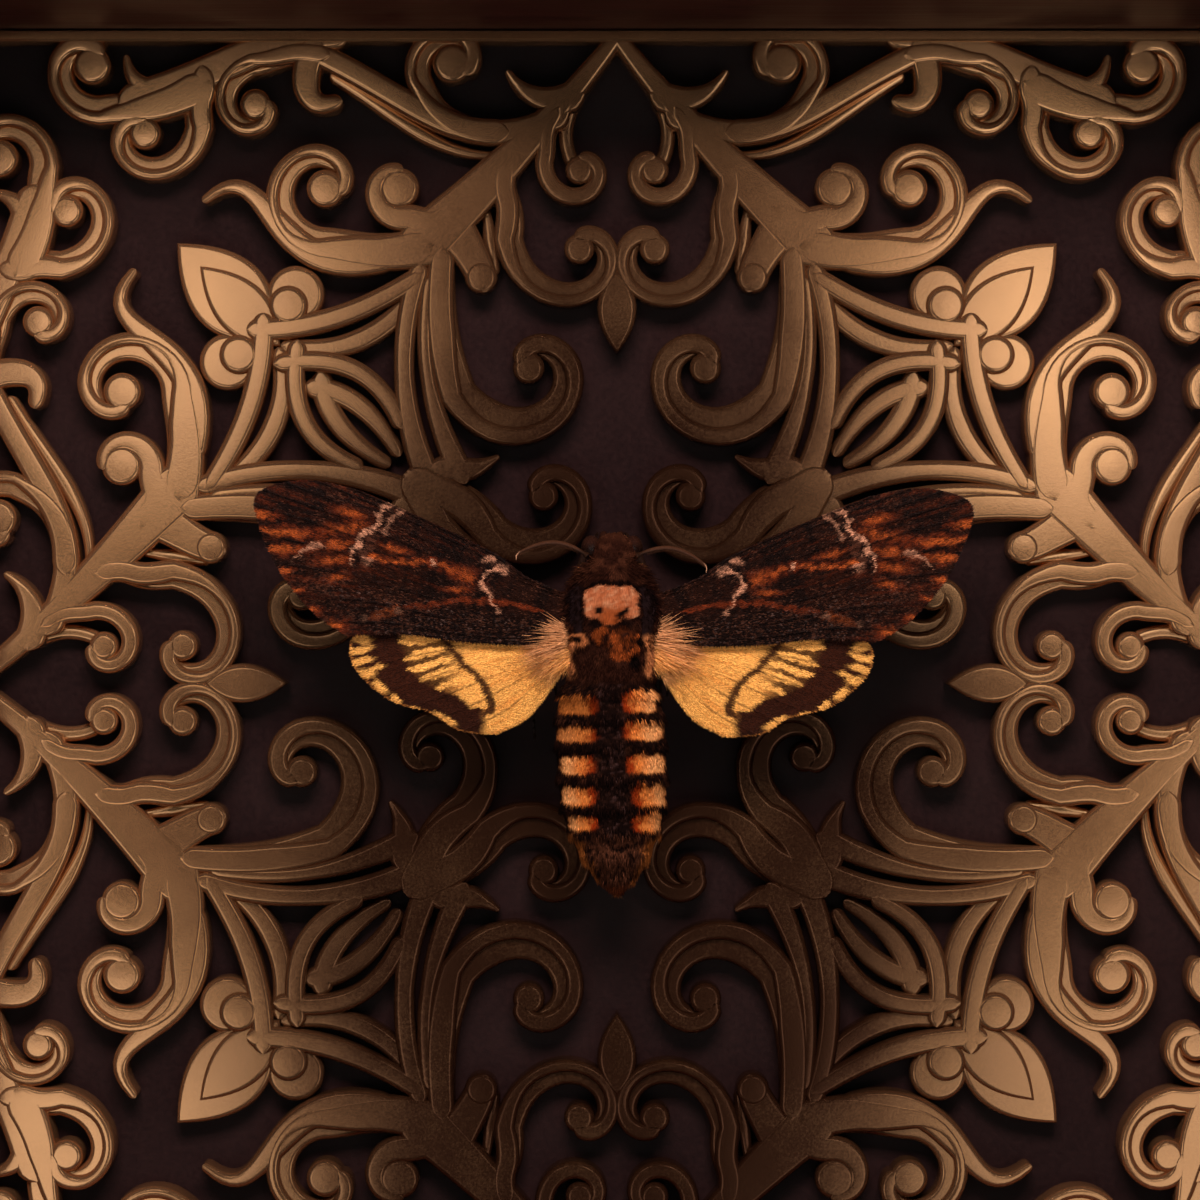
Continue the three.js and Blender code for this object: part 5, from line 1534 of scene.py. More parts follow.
@dataclass
class WingHair:
    """The long pale hair that fans from the wing roots, over the base of both wings."""

    side: Side
    hind: Wing
    coat: bpy.types.Material
    fan_count: int = 2700
    cover_count: int = 7400
    locks: int = 15
    fan_inner: float = 5.3
    fan_outer: float = 7.4
    top_angle: float = 34.0
    fan_angle: float = 96.0
    gather: float = 260.0
    swing: float = 26.0
    fan_half: float = 0.066
    cover_half: float = 0.052
    cream: Array = painted(234, 174, 122)
    honey: Array = painted(250, 184, 98)

    def build(self) -> None:
        """Makes the fan at the roots and the hair that lies over the hindwing."""
        self.build_fan()
        self.build_cover()

    def build_fan(self) -> None:
        """Hair rooted in the side of the thorax."""
        draw = np.random.default_rng(90 + self.side.value)
        count, sign = int(self.fan_count * DENSITY), self.side.value
        share = draw.beta(1.3, 1.0, count)
        lock = np.round(share * self.locks) / self.locks
        up = -3.0 - 5.6 * share + draw.normal(0, 0.35, count)
        out = draw.uniform(self.fan_inner, self.fan_outer, count)
        swing = self.swing * (lattice(np.round(share * self.locks), sign, 93) - 0.5)
        angle = self.top_angle - self.fan_angle * lock + self.gather * (share - lock) + swing
        angle = np.radians(angle + draw.normal(0, 7, count))
        high = 1.2 - 0.4 * (out - self.fan_inner) - 0.8 * share - 0.1 * np.abs(up + 5)
        high = high + draw.uniform(-0.5, 0.5, count)
        root = np.stack([out * sign, up, high], -1)
        lie = np.stack([np.cos(angle) * sign, np.sin(angle), -0.12 - 0.22 * share], -1)
        normal = np.broadcast_to([0.0, 0.0, 1.0], root.shape)
        mixed = fade(share + 0.5 * (cloud(share * 14, out, 1.0, 92) - 0.5), 0.2, 0.9)[:, None] * 0.75
        bright = 0.68 + 0.5 * lattice(np.round(share * self.locks * 1.7), sign, 94)
        bright = bright * (0.55 + 0.45 * fade(share, 0.0, 0.25)) * (1 + 0.35 * fade(share, 0.4, 1.0))
        colour = self.cream * (1 - mixed) + self.honey * mixed
        colour = colour * draw.lognormal(0, 0.16, (count, 1)) * bright[:, None]
        reach = 1.1 + 7.0 * np.sin(np.pi * np.clip(share, 0, 1) ** 0.9)
        hair = Tufts(
            root, normal, lie, reach * draw.beta(1.8, 2.4, count) * 1.35, np.full(count, self.fan_half),
            draw.uniform(-8, 12, count), colour, planned((out - 5) / 3, np.clip(share, 0, 1)),
            joints=3, curl=1.5, root_shade=0.72, tip_shade=1.02,
        )
        piece = hair.piece(f"wing_root_hair_{self.side.word}", self.coat)

    def build_cover(self) -> None:
        """Hair that lies along the inner two thirds of the hindwing."""
        draw = np.random.default_rng(96 + self.side.value)
        count = int(self.cover_count * DENSITY)
        span = draw.beta(1.0, 1.9, count) * 0.66
        chord = draw.uniform(0.12, 0.97, count)
        place, normal, along = self.hind.ground(span, chord)
        colour = self.hind.paint(span, chord) * draw.lognormal(0.05, 0.14, (count, 1))
        pale = fade(span, 0.25, 0.0)[:, None] * 0.45
        colour = colour * (1 - pale) + self.cream * pale
        lie = along + np.cross(normal, along) * draw.normal(0, 0.07, (count, 1))
        hair = Tufts(
            place, normal, lie, draw.uniform(1.5, 3.4, count) * (1.1 - span), np.full(count, self.cover_half),
            draw.uniform(2, 7, count), colour, planned(span, chord),
            curl=1.6, root_shade=0.8, tip_shade=1.12,
        )
        piece = hair.piece(f"hindwing_hair_{self.side.word}", self.coat)


# Eyes, feelers, mouth parts and legs


@dataclass
class Eye:
    """A large compound eye, low on the side of the head."""

    side: Side
    finish: bpy.types.Material
    radius: float = 1.9
    flat: float = 0.8
    centre: tuple[float, float, float] = (3.15, 8.7, -1.2)
    rings: int = 48
    facet_rows: int = 40
    facet_depth: float = 0.018

    def build(self) -> None:
        """Makes the eye's faceted ball."""
        around = 2 * self.rings
        turns = np.linspace(0, 2 * math.pi, around, endpoint=False)
        tilt, turn = crossed(np.linspace(0.02, math.pi - 0.02, self.rings), turns)
        columns = self.facet_rows * np.round(np.sin(tilt) * 4) / 4
        facet = np.cos(tilt * self.facet_rows) * np.cos(turn * columns)
        radius = self.radius + self.facet_depth * facet
        points = ball(tilt, turn) * (self.flat, 1, 1) * radius[:, None]
        points = moth_to_case(points + np.array(self.centre) * (self.side.value, 1, 1))
        faces = capped_grid(self.rings, around)
        band = fade(np.cos(tilt), -0.2, 0.6)[:, None]
        colours = linear(22, 12, 9) * (1 - band) + linear(40, 22, 16) * band
        piece = make_piece(f"eye_{self.side.word}_facets", points, faces, self.finish, colours)
        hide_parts(f"eye_{self.side.word}")


@dataclass
class Feeler:
    """A short, stout feeler: ringed, thickest past its middle and hooked at its pale tip."""

    side: Side
    turned: float
    finish: bpy.types.Material
    base: tuple[float, float, float] = (3.75, 7.5, 1.9)
    span: float = 11.3
    arch: float = 2.0
    rise: float = 0.6
    radius: float = 0.32
    rings: int = 46
    ring_depth: float = 0.09
    around: int = 14
    bristles: int = 90
    bristle_radii: tuple[float, float, float] = (0.045, 0.03, 0.006)

    def line(self, share: Array) -> Array:
        """The feeler's centreline in the moth's frame."""
        turn = math.radians(self.turned)
        along = self.span * share
        arch = self.arch * np.sin(np.pi * share**0.9) - 0.7 * fade(share, 0.9, 1.0)
        reach = along * math.cos(turn) - arch * math.sin(turn) - 0.5 * fade(share, 0.94, 1.0)
        lift = along * math.sin(turn) + arch * math.cos(turn)
        out, up, high = self.base
        return np.stack([(out + reach) * self.side.value, up + lift, high + self.rise * share], -1)

    def on_tube(self, value: Array, first: float, last: float) -> Array:
        """A value for each ring of the stem's points and for the middle of each of its ends."""
        return np.concatenate([np.repeat(value, self.around), [first, last]])[:, None]

    def build(self) -> None:
        """Makes the ringed stem and the comb of short bristles below it."""
        steps = self.rings * 6
        share = np.linspace(0, 1, steps)
        line = self.line(share)
        waist = 1 - self.ring_depth * np.abs(np.cos(np.pi * share * self.rings)) ** 6
        radii = self.radius * (0.72 + 0.34 * np.sin(np.pi * share**0.8) - 0.72 * share**7) * waist
        radii = radii + 0.28 * np.exp(-((share / 0.03) ** 2))
        brown, pale = linear(66, 42, 28), linear(206, 160, 126)
        tip = self.on_tube(fade(share, 0.88, 0.98), 0, 1)
        ring = self.on_tube(waist**4, 1, 1)
        dusk = self.on_tube(0.35 + 0.65 * fade(share, 0.02, 0.2), 0.35, 1)
        gathered = Assembly()
        gathered.add_tube(line, radii, self.around, (brown * (1 - tip) + pale * tip) * ring * dusk)
        for number, at in enumerate(np.linspace(0.12, 0.93, self.bristles)):
            root = self.line(np.array([at]))[0]
            end = root + np.array([0.1 * self.side.value, -0.62, 0.25 if number % 2 else -0.2])
            gathered.add_tube(np.linspace(root, end, 3), np.array(self.bristle_radii), 3, brown * 1.15)
        piece = gathered.piece(f"antenna_{self.side.word}_ringed", self.finish)
        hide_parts(f"antenna_{self.side.word}")


@dataclass
class MouthParts:
    """The two furred palps and the short, coiled tongue between them."""

    coat: bpy.types.Material
    skin_finish: bpy.types.Material
    horn: bpy.types.Material
    half: tuple[float, float, float] = (0.85, 1.1, 1.7)
    centre: tuple[float, float, float] = (1.25, 9.7, -2.9)
    tilt: float = 28.0
    coil: float = 1.5
    hair: tuple[float, float] = (0.25, 0.5)
    hairs: int = 900
    rings: int = 24
    around: int = 36
    turns: float = 1.6
    tongue: float = 0.42

    def build(self) -> None:
        """Makes both palps and the tongue."""
        for side in Side:
            self.build_palp(side)
        self.build_tongue()

    def palp_surface(self, side: Side, tilt: Array, turn: Array) -> tuple[Array, Array]:
        """Places on a palp and the directions out of it."""
        lean = math.radians(self.tilt)
        out, up, high = np.moveaxis(ball(tilt, turn) * (self.half[0], self.half[2], self.half[1]), -1, 0)
        leaned = (up * math.cos(lean) + high * math.sin(lean), high * math.cos(lean) - up * math.sin(lean))
        place = np.stack([out, *leaned], -1)
        return place + np.array(self.centre) * (side.value, 1, 1), unit(place)

    def build_palp(self, side: Side) -> None:
        """One palp's skin and its short coat."""
        turns = np.linspace(0, 2 * math.pi, self.around, endpoint=False)
        tilt, turn = crossed(np.linspace(0.05, math.pi - 0.05, self.rings), turns)
        points, _ = self.palp_surface(side, tilt, turn)
        brown, faces = linear(52, 30, 22), capped_grid(self.rings, self.around)
        colours = np.tile(brown * 0.6, (len(points), 1))
        piece = make_piece(f"palp_{side.word}_skin", moth_to_case(points), faces, self.skin_finish, colours)
        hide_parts(f"palp_{side.word}")
        draw = np.random.default_rng(110 + side.value)
        count = int(self.hairs * DENSITY)
        tilt, turn = np.arccos(draw.uniform(-0.98, 0.98, count)), draw.uniform(0, 2 * math.pi, count)
        place, normal = self.palp_surface(side, tilt, turn)
        lie = np.broadcast_to([0.1 * side.value, 1.0, -0.3], place.shape) + draw.normal(0, 0.2, place.shape)
        colour = brown * draw.lognormal(0, 0.25, (count, 1))
        plan = planned(turn / (2 * math.pi), tilt / math.pi)
        hair = Tufts(
            place, normal, lie, draw.uniform(*self.hair, count), np.full(count, 0.06),
            draw.uniform(8, 22, count), colour, plan,
        )
        coat = hair.piece(f"coat_palp_{side.word}", self.coat)

    def build_tongue(self) -> None:
        """The ringed tongue, rolled up under the head."""
        share = np.linspace(0, 1, 260)
        angle = np.pi * (0.5 + 2 * self.turns * share)
        radius = self.coil * (1 - 0.55 * share)
        line = np.stack([0.92 * share, 8.9 + radius * np.cos(angle), -5.4 + radius * np.sin(angle)], -1)
        rings = 1 - 0.08 * np.abs(np.cos(np.pi * share * 70)) ** 4
        points, faces = tube(line, self.tongue * (1 - 0.4 * share) * rings, 12, 0.9)
        colours = np.tile(linear(96, 58, 36), (len(points), 1))
        piece = make_piece("tongue_coil", moth_to_case(points), faces, self.horn, colours)
        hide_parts("proboscis")


@dataclass
class Leg:
    """A folded leg: thigh, shin with spurs, and a foot of five joints that ends in two claws."""

    name: str
    side: Side
    joints: Route
    coat: bpy.types.Material
    shell: bpy.types.Material
    steps: int = 40
    round_count: int = 7
    flat: float = 0.8
    # The legs' own dark brown, painted darker still as shade for where they lie under the body.
    brown: Array = painted(34, 22, 17)

    # Radii at both ends of the thigh, the shin and the foot.
    RADII = ((0.95, 0.62), (0.62, 0.42), (0.34, 0.2))

    def build(self) -> None:
        """Makes the leg's shell and its short coat."""
        sign, gathered = self.side.value, Assembly()
        joints = [np.array(joint) * (sign, 1, 1) for joint in self.joints]
        roots, normals, lies = [], [], []
        share = np.linspace(0, 1, self.steps)
        for start, end, (wide, narrow) in zip(joints[:-1], joints[1:], self.RADII):
            line = start + (end - start) * share[:, None]
            bulge = 1 + 0.16 * np.sin(np.pi * share)
            if (wide, narrow) == self.RADII[-1]:
                bulge = 1 - 0.35 * np.abs(np.cos(np.pi * share * 5)) ** 8
            radii = wide + (narrow - wide) * share
            gathered.add_tube(line, radii * bulge, 12, self.brown * 0.8, self.flat)
            _, normal, binormal = frames_along(line)
            for k in range(0, self.steps, 1 if DENSITY == 1 else 3):
                out = normal[k] * math.cos(k * 2.4) + binormal[k] * math.sin(k * 2.4)
                beside = np.cross(unit(end - start), out)
                for spin in range(self.round_count):
                    around = unit(out * math.cos(spin * 0.9) + beside * math.sin(spin * 0.9))
                    roots.append(line[k] + around * radii[k] * self.flat)
                    normals.append(around)
                    lies.append(end - start)
        self.add_hooks(gathered, *joints)
        piece = gathered.piece(f"{self.name}_{self.side.word}_shell", self.shell)
        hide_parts(f"{self.name}_{self.side.word}")
        count = len(roots)
        draw = np.random.default_rng(130 + count + self.side.value)
        plan = planned((np.arange(count) % 7) / 7, np.arange(count) / count)
        scales = Tufts(
            np.array(roots), np.array(normals), np.array(lies), draw.uniform(0.4, 0.8, count),
            np.full(count, 0.09), draw.uniform(5, 25, count),
            self.brown * draw.lognormal(0, 0.3, (count, 1)), plan,
        )
        coat = scales.piece(f"coat_{self.name}_{self.side.word}", self.coat)

    def add_hooks(self, gathered: Assembly, coxa: Array, knee: Array, ankle: Array, toe: Array) -> None:
        """Adds the claws at the toe, the spurs at the ankle and the ball at the hip."""
        foot, shin = unit(toe - ankle), unit(ankle - knee)
        for hook in (-1, 1):
            claw = (toe, toe + foot * 0.5 + (0.2 * hook, 0, 0), toe + foot * 0.7 + (0.3 * hook, 0, -0.3))
            spur = (ankle, ankle + shin * 0.8 + (0.35 * hook, 0.0, 0.2))
            for route, steps, thick, shade in ((claw, 8, 0.09, 0.4), (spur, 5, 0.12, 1)):
                line = spline(np.stack(route), np.linspace(0, 1, steps))
                gathered.add_tube(line, np.linspace(thick, 0.01, steps), 6, self.brown * shade)
        hip = np.linspace(-1, 1, 14)
        line = coxa + np.linspace(-1.1, 1.1, 14)[:, None] * unit(knee - coxa)
        gathered.add_tube(line, 1.15 * np.sqrt(1.02 - hip**2), 14, self.brown * 0.7)


# The scroll panel


@dataclass(frozen=True)
class Scroll:
    """A band that runs from its root and rolls up on the ball in its eye."""

    root: tuple[float, float]
    via: tuple[float, float]
    eye: tuple[float, float]
    start: float
    sweep: float
    reach: float
    ball: float
    half: tuple[float, float, float]
    pull: float = 1.0
    level: int = 1

    def line(self) -> Array:
        """The scroll's centreline."""
        centre = np.array(self.eye)
        share = np.linspace(0, 1, int(abs(self.sweep) / 9))[:, None]
        angle = np.radians(self.start + self.sweep * share)
        radius = self.reach + (self.ball * 0.9 - self.reach) * share**self.pull
        spiral = centre + radius * np.concatenate([np.cos(angle), np.sin(angle)], 1)
        entry = spiral[0]
        along = np.array([-(entry - centre)[1], (entry - centre)[0]]) * np.sign(self.sweep)
        lead = entry - unit(along) * self.reach * 0.6
        run = bezier((self.root, self.via, lead, entry), 18)
        return np.concatenate([run[:-1], spiral])


@dataclass(frozen=True)
class Band:
    """A band along a cubic curve."""

    points: Route
    half: tuple[float, float, float]
    level: int = 1

    def line(self) -> Array:
        """The band's centreline."""
        return bezier(self.points, 22)


# The panel's forms between its upright axis and its diagonal, in millimetres from its centre.
SCROLLS = {
    "hook": Scroll((26.1, 73), (29.5, 70.6), (34, 77.3), -95, 175, 4.7, 3.2, (2.6, 2, 1.2), 1, 2),
    "crest": Scroll((31.6, 67.8), (38.7, 66.6), (45.5, 77.2), -85, 262, 8.5, 3, (3.2, 2.4, 1.4), 1.2, 1),
    "bowl": Scroll((27.4, 66), (28, 57), (13.8, 49.2), -20, -275, 11.7, 2.5, (2.1, 3.3, 1.6), 0.85, 1),
    "heart": Scroll((17.5, 79.5), (18.2, 75), (5.9, 67.8), 8, -260, 10.9, 2.4, (1.9, 2.2, 1.5), 0.8, 1),
    "inner": Scroll((30.6, 31.2), (26, 29), (11.5, 29.2), -35, -265, 9.6, 2.4, (3, 2.9, 1.5), 0.85, 1),
    "drop": Scroll((9.7, 88.6), (11.7, 85.5), (5.8, 80.1), 12, -250, 5.7, 2.3, (1.5, 1.5, 1.3), 0.9, 2),
    "wave": Scroll((19, 86), (28, 86.4), (25.7, 96.7), -25, 215, 5.8, 3.1, (2.2, 2.1, 1.6), 0.9, 1),
    "curl": Scroll((46.5, 98.2), (52, 99), (56.4, 90.3), 85, -245, 6.3, 2.5, (1.8, 1.9, 1.4), 0.8, 1),
    "loop": Scroll((64.5, 94.4), (64, 91.2), (73.7, 85.9), -186, 245, 8.2, 2.6, (2, 2.1, 1.5), 0.8, 1),
    "corner": Scroll((66, 92.5), (73, 89), (81.9, 96.4), -100, 200, 7, 3, (3, 2.4, 1.7), 1, 1),
}
BANDS = {
    "stem": Band(((-0.6, 101.6), (8, 90.5), (17, 81), (30, 69)), (1.3, 2.5, 4.2), 2),
    "spur": Band(((7.6, 91.4), (11, 90.6), (14.6, 91.6), (16.8, 95)), (2.5, 1.7, 0.7), 2),
    "drop_vein": Band(((1.2, 99.0), (7.2, 91.5), (9.3, 87.0), (7.2, 82.0)), (0.5, 1.2, 1.2), 0),
    "swag": Band(((9.5, 88.3), (24, 81.5), (31, 91), (46.5, 98.2)), (2.1, 2, 1.9), 2),
    "swag_under": Band(((16.0, 83.2), (26, 80.4), (33.5, 88.4), (44, 94.6)), (0.5, 1.3, 1.0), 0),
    "bulb": Band(((47.6, 98.6), (49.6, 93.5), (48.4, 89.4), (44.2, 90.6)), (2.4, 2.2, 1.4), 2),
    "crest_tip": Band(((37, 66.4), (55, 62), (54, 84), (64, 75.6)), (2.5, 2.2, 0.8), 2),
    "outer_arc": Band(((31.6, 63.1), (39, 58.4), (46, 55.4), (56, 55.2)), (1.6, 1.8, 1.8), 2),
    "inner_arc": Band(((31.8, 60.7), (36, 54.6), (43, 51), (51, 52.6)), (1.6, 1.8, 1.5), 1),
    "petal": Band(((52, 50), (43.4, 51.2), (37.6, 49), (34, 41)), (1.6, 1.6, 1.4), 2),
    "calyx": Band(((47, 46.2), (42.5, 45.8), (38, 42.5), (34.6, 36.5)), (1.9, 1.7, 1.2), 0),
    "spine": Band(((31, 64), (34.4, 54), (34, 42), (29.5, 32)), (1.7, 1.6, 2.2), 2),
    "rib": Band(((29.5, 62), (31, 50), (29, 42), (24.5, 33)), (1.2, 1.3, 2.1), 2),
    "barb": Band(((27, 33.4), (24, 33), (21.5, 33.4), (18.8, 35.2)), (2.2, 1.8, 0.5), 2),
    "border": Band(((44, 101), (57, 100.4), (62, 95), (75, 91.2)), (2.2, 2.7, 2.9), 2),
    "border_spur": Band(((70, 92), (74, 92.4), (76, 94), (76.5, 97.4)), (2.4, 1.7, 0.6), 2),
    "lappet": Band(((25.4, 71), (23.6, 68), (22, 66), (21.2, 63.4)), (3.3, 2.8, 2.5), 2),
    "lappet_vein": Band(((20.5, 74.5), (20.2, 71.0), (19.4, 67.6), (19.2, 64.6)), (0.6, 1.2, 0.9), 0),
}
# Leaves as (root, tip, half width, level) and discs as (centre, radius, level).
LEAVES = {
    "pendant": ((0, 64.5), (0, 51.4), 3.1, 2),
    "crown": ((53.6, 53.6), (68.8, 68.8), 6.2, 1),
    "crown_fold": ((52.6, 52.6), (65.2, 65.2), 4.3, 1.4),
}
DISCS = {
    "lobe": ((50.2, 60.8), 4.5, 1),
    "lobe_fold": ((51.3, 59.0), 3.1, 2),
    "lappet_end": ((21.2, 63.4), 2.6, 2),
}


@dataclass
class ScrollPanel:
    """The scroll-cut panel: eight alike parts of round-edged bands in layers, inside a straight rail."""

    finish: bpy.types.Material
    half: float = 101.7
    bevel: float = 0.8
    crown: float = 0.02
    levels: tuple[float, float, float] = (2.9, 4.1, 5.2)
    stagger: float = 0.006
    centre_up: float = 120.0

    # The rounded edge as (inward, down), and the rail's outline as (inward from outside, forward).
    PROFILE = ((0, 1), (0.1, 0.56), (0.34, 0.22), (0.66, 0.05), (1, 0), (1.2, 0))
    RAIL = ((0, 0.0), (0, 5.4), (0.35, 5.5), (1.2, 5.5), (1.6, 5.25), (1.7, 4.8), (1.7, 0.0))

    def __post_init__(self) -> None:
        """Takes the panel's back from the solid model."""
        _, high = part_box("scroll_panel")
        self.back = high.y / MM

    def section(self, half: Array, height: float) -> Array:
        """The outline across a band, for each of its half widths, as (across, forward)."""
        bevel = np.minimum(self.bevel, half * 0.75)
        left = [np.stack([-half, np.zeros_like(half)], -1)]
        for inward, down in self.PROFILE:
            left.append(np.stack([-half + bevel * inward, height - bevel * down], -1))
        right = [part * (-1, 1) for part in reversed(left)]
        middle = np.stack([np.zeros_like(half), np.full_like(half, height + self.crown)], -1)
        return np.stack([*left, middle, *right], 1)

    def ribbon(self, line: Array, half: Sequence[float], height: float) -> tuple[Array, list[Array]]:
        """A round-edged band with round ends.

        Args:
            line: its centreline in (across, up).
            half: its half widths, spread evenly along it.
            height: how far it stands forward of the panel's back.

        Returns:
            Points in (across, forward, up) and faces.
        """
        length = np.concatenate([[0], np.cumsum(np.linalg.norm(np.diff(line, axis=0), axis=1))])
        widths = np.interp(length / length[-1], np.linspace(0, 1, len(half)), half)
        ways = unit(np.gradient(line, axis=0))
        caps = np.radians((84, 66, 45, 22))
        first = [line[0] - ways[0] * widths[0] * math.sin(a) for a in caps]
        last = [line[-1] + ways[-1] * widths[-1] * math.sin(a) for a in reversed(caps)]
        route = np.concatenate([first, line, last])
        heading = np.concatenate([np.tile(ways[0], (4, 1)), ways, np.tile(ways[-1], (4, 1))])
        wide = np.concatenate([widths[0] * np.cos(caps), widths, widths[-1] * np.cos(caps)[::-1]])
        across = np.stack([-heading[:, 1], heading[:, 0]], -1)
        section = self.section(wide, height)
        flat = route[:, None] + across[:, None] * section[..., :1]
        points = np.stack([flat[..., 0], section[..., 1], flat[..., 1]], -1)
        return points.reshape(-1, 3), capped_grid(*points.shape[:2])

    def dome(self, outline: Array, height: float, centre: Array) -> tuple[Array, list[Array]]:
        """A round-edged plate over a closed outline.

        Args:
            outline: its edge in (across, up), anticlockwise, without a repeated last point.
            height: how far it stands forward of the panel's back.
            centre: the middle that its rings shrink to.

        Returns:
            Points in (across, forward, up) and faces.
        """
        reach = np.linalg.norm(outline - centre, axis=1, keepdims=True)
        inset = min(self.bevel, float(reach.min()) * 0.6)
        steps = [(0.0, 1.0, 0.0)]
        steps += [(inset * inward, 1.0, height - inset * down) for inward, down in self.PROFILE]
        steps += [(inset, share, height + self.crown) for share in (0.5, 0.15)]
        rings = []
        for inward, share, forward in steps:
            x, z = (centre + (outline - centre) * (1 - inward / reach) * share).T
            rings.append(np.column_stack([x, np.full(len(x), forward), z]))
        return np.concatenate(rings), capped_grid(len(rings), len(outline))

    def eighth(self) -> list[tuple[Array, list[Array]]]:
        """The shapes between the upright axis and the diagonal."""
        shapes = []
        top = self.levels[-1]
        for number, scroll in enumerate(SCROLLS.values()):
            line = scroll.line()
            over = top + self.stagger * number
            if self.levels[scroll.level] == top:
                shapes.append(self.ribbon(line, scroll.half, over))
            else:
                shapes.append(self.ribbon(line, scroll.half, self.levels[scroll.level]))
                shapes.append(self.rim(scroll, line, over))
            shapes.append(self.dome(self.circle(scroll.eye, scroll.ball, 26), over, np.array(scroll.eye)))
        for number, band in enumerate(BANDS.values()):
            height = self.levels[band.level] - self.stagger * (number + 1)
            shapes.append(self.ribbon(band.line(), band.half, height))
        for centre, radius, level in DISCS.values():
            outline = self.circle(centre, radius, 32)
            shapes.append(self.dome(outline, self.levels[level] - 0.003, np.array(centre)))
        return shapes

    def leaves(self) -> list[tuple[Array, list[Array]]]:
        """The leaves on the upright axis and the diagonal, which are their own mirror images."""
        shapes = []
        for start, end, half, level in LEAVES.values():
            outline, middle = self.leaf(np.array(start, float), np.array(end, float), half)
            shapes.append(self.dome(outline, float(np.interp(level, (0, 1, 2), self.levels)), middle))
        return shapes

    @staticmethod
    def circle(centre: Sequence[float], radius: float, count: int) -> Array:
        """The points of a circle, anticlockwise."""
        turn = np.linspace(0, 2 * math.pi, count, endpoint=False)
        return np.array(centre) + radius * np.stack([np.cos(turn), np.sin(turn)], -1)

    def rim(self, scroll: Scroll, line: Array, height: float) -> tuple[Array, list[Array]]:
        """The raised band along a scroll's outer edge: as wide as the scroll at its root, then narrower."""
        ways = unit(np.gradient(line, axis=0))
        across = np.stack([-ways[:, 1], ways[:, 0]], -1) * -np.sign(scroll.sweep)
        share = np.linspace(0, 1, len(line))
        wide = np.interp(share, (0, 0.5, 1), scroll.half)
        narrow = wide * np.interp(share, (0, 0.2, 0.45, 0.75, 1), (1, 0.9, 0.46, 0.55, 1.0))
        moved = line + across * (wide - narrow)[:, None]
        return self.ribbon(moved, list(narrow), height)

    @staticmethod
    def leaf(start: Array, end: Array, half: float) -> tuple[Array, Array]:
        """A pointed leaf's outline and its middle."""
        across = np.array([start[1] - end[1], end[0] - start[0]])
        across = across / np.linalg.norm(across) * half * 2
        middle = start + (end - start) * 0.42
        share = np.linspace(0, 1, 24)[:-1, None]
        sides = []
        for first, last, sign in ((start, end, -1), (end, start, 1)):
            bulge = middle + across * sign
            sides.append(first * (1 - share) ** 2 + 2 * bulge * share * (1 - share) + last * share**2)
        return np.concatenate(sides), middle

    def build(self) -> None:
        """Makes the whole panel from its eighth, mirrored and turned."""
        shapes, leaves = self.eighth(), self.leaves()
        for quarter in range(4):
            gathered = Assembly()
            turn = quarter * math.pi / 2
            for mirrored, made in ((1, shapes + leaves), (-1, shapes)):
                for points, faces in made:
                    across = points[:, 0] * mirrored
                    x = across * math.cos(turn) + points[:, 2] * math.sin(turn)
                    z = points[:, 2] * math.cos(turn) - across * math.sin(turn)
                    held = np.clip(np.stack([x, z], -1), -self.half, self.half)
                    placed = np.stack([held[:, 0], self.back - points[:, 1], held[:, 1] + self.centre_up], -1)
                    gathered.add(placed, faces if mirrored == 1 else [part[:, ::-1] for part in faces])
            piece = gathered.piece(f"scrollwork_{quarter + 1}", self.finish, crease=50)
            if quarter == 0:
                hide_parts("scroll_panel")
        self.build_rail()

    def build_rail(self) -> None:
        """The straight rail round the panel."""
        corners = np.array([(-1, -1), (1, -1), (1, 1), (-1, 1)])
        rings = []
        for inward, forward in self.RAIL:
            x, z = (corners * (self.half - inward)).T
            rings.append(np.column_stack([x, np.full(4, self.back - forward), z + self.centre_up]))
        count = len(rings)
        corner, step = crossed(np.arange(4), np.arange(count))
        here, ahead, after = corner * count, (corner + 1) % 4 * count, (step + 1) % count
        faces = np.stack([here + step, here + after, ahead + after, ahead + step], -1)
        piece = make_piece("panel_rail", np.stack(rings, 1).reshape(-1, 3), [faces], self.finish, crease=30)


# The case, the stage and the light


@dataclass
class Case:
    """The mitred frame, its back board and the hidden post; their solids carry over and are dressed."""

    wood: PaintFinish = PaintFinish("frame_wood", (54, 18, 13), (82, 32, 22), 1.4, 0.06, 0.5, (1, 1, 14))
    board: PaintFinish = PaintFinish("board_paint", (25, 15, 16), (38, 25, 25), 0.8, 0.07, 0.88)
    steel: PaintFinish = PaintFinish(
        "post_steel", (60, 60, 66), (96, 94, 98), 0.3, 0.01, 0.35, (1, 8, 1), 1.0,
    )
    foam: PaintFinish = PaintFinish("block_foam", (24, 19, 20), (40, 33, 34), 0.5, 0.15, 0.95)

    def build(self) -> None:
        """Dresses the case's nodes."""
        upright = self.wood.material()
        level = replace(self.wood, name="frame_wood_level", stretch=(14, 1, 1)).material()
        finishes = {
            "frame_left": upright, "frame_right": upright, "frame_top": level, "frame_bottom": level,
            "back_board": self.board.material(), "mount_post": self.steel.material(),
            "mount_block": self.foam.material(),
        }
        for name, material in finishes.items():
            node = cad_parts[name]
            node.data.materials.clear()
            node.data.materials.append(material)


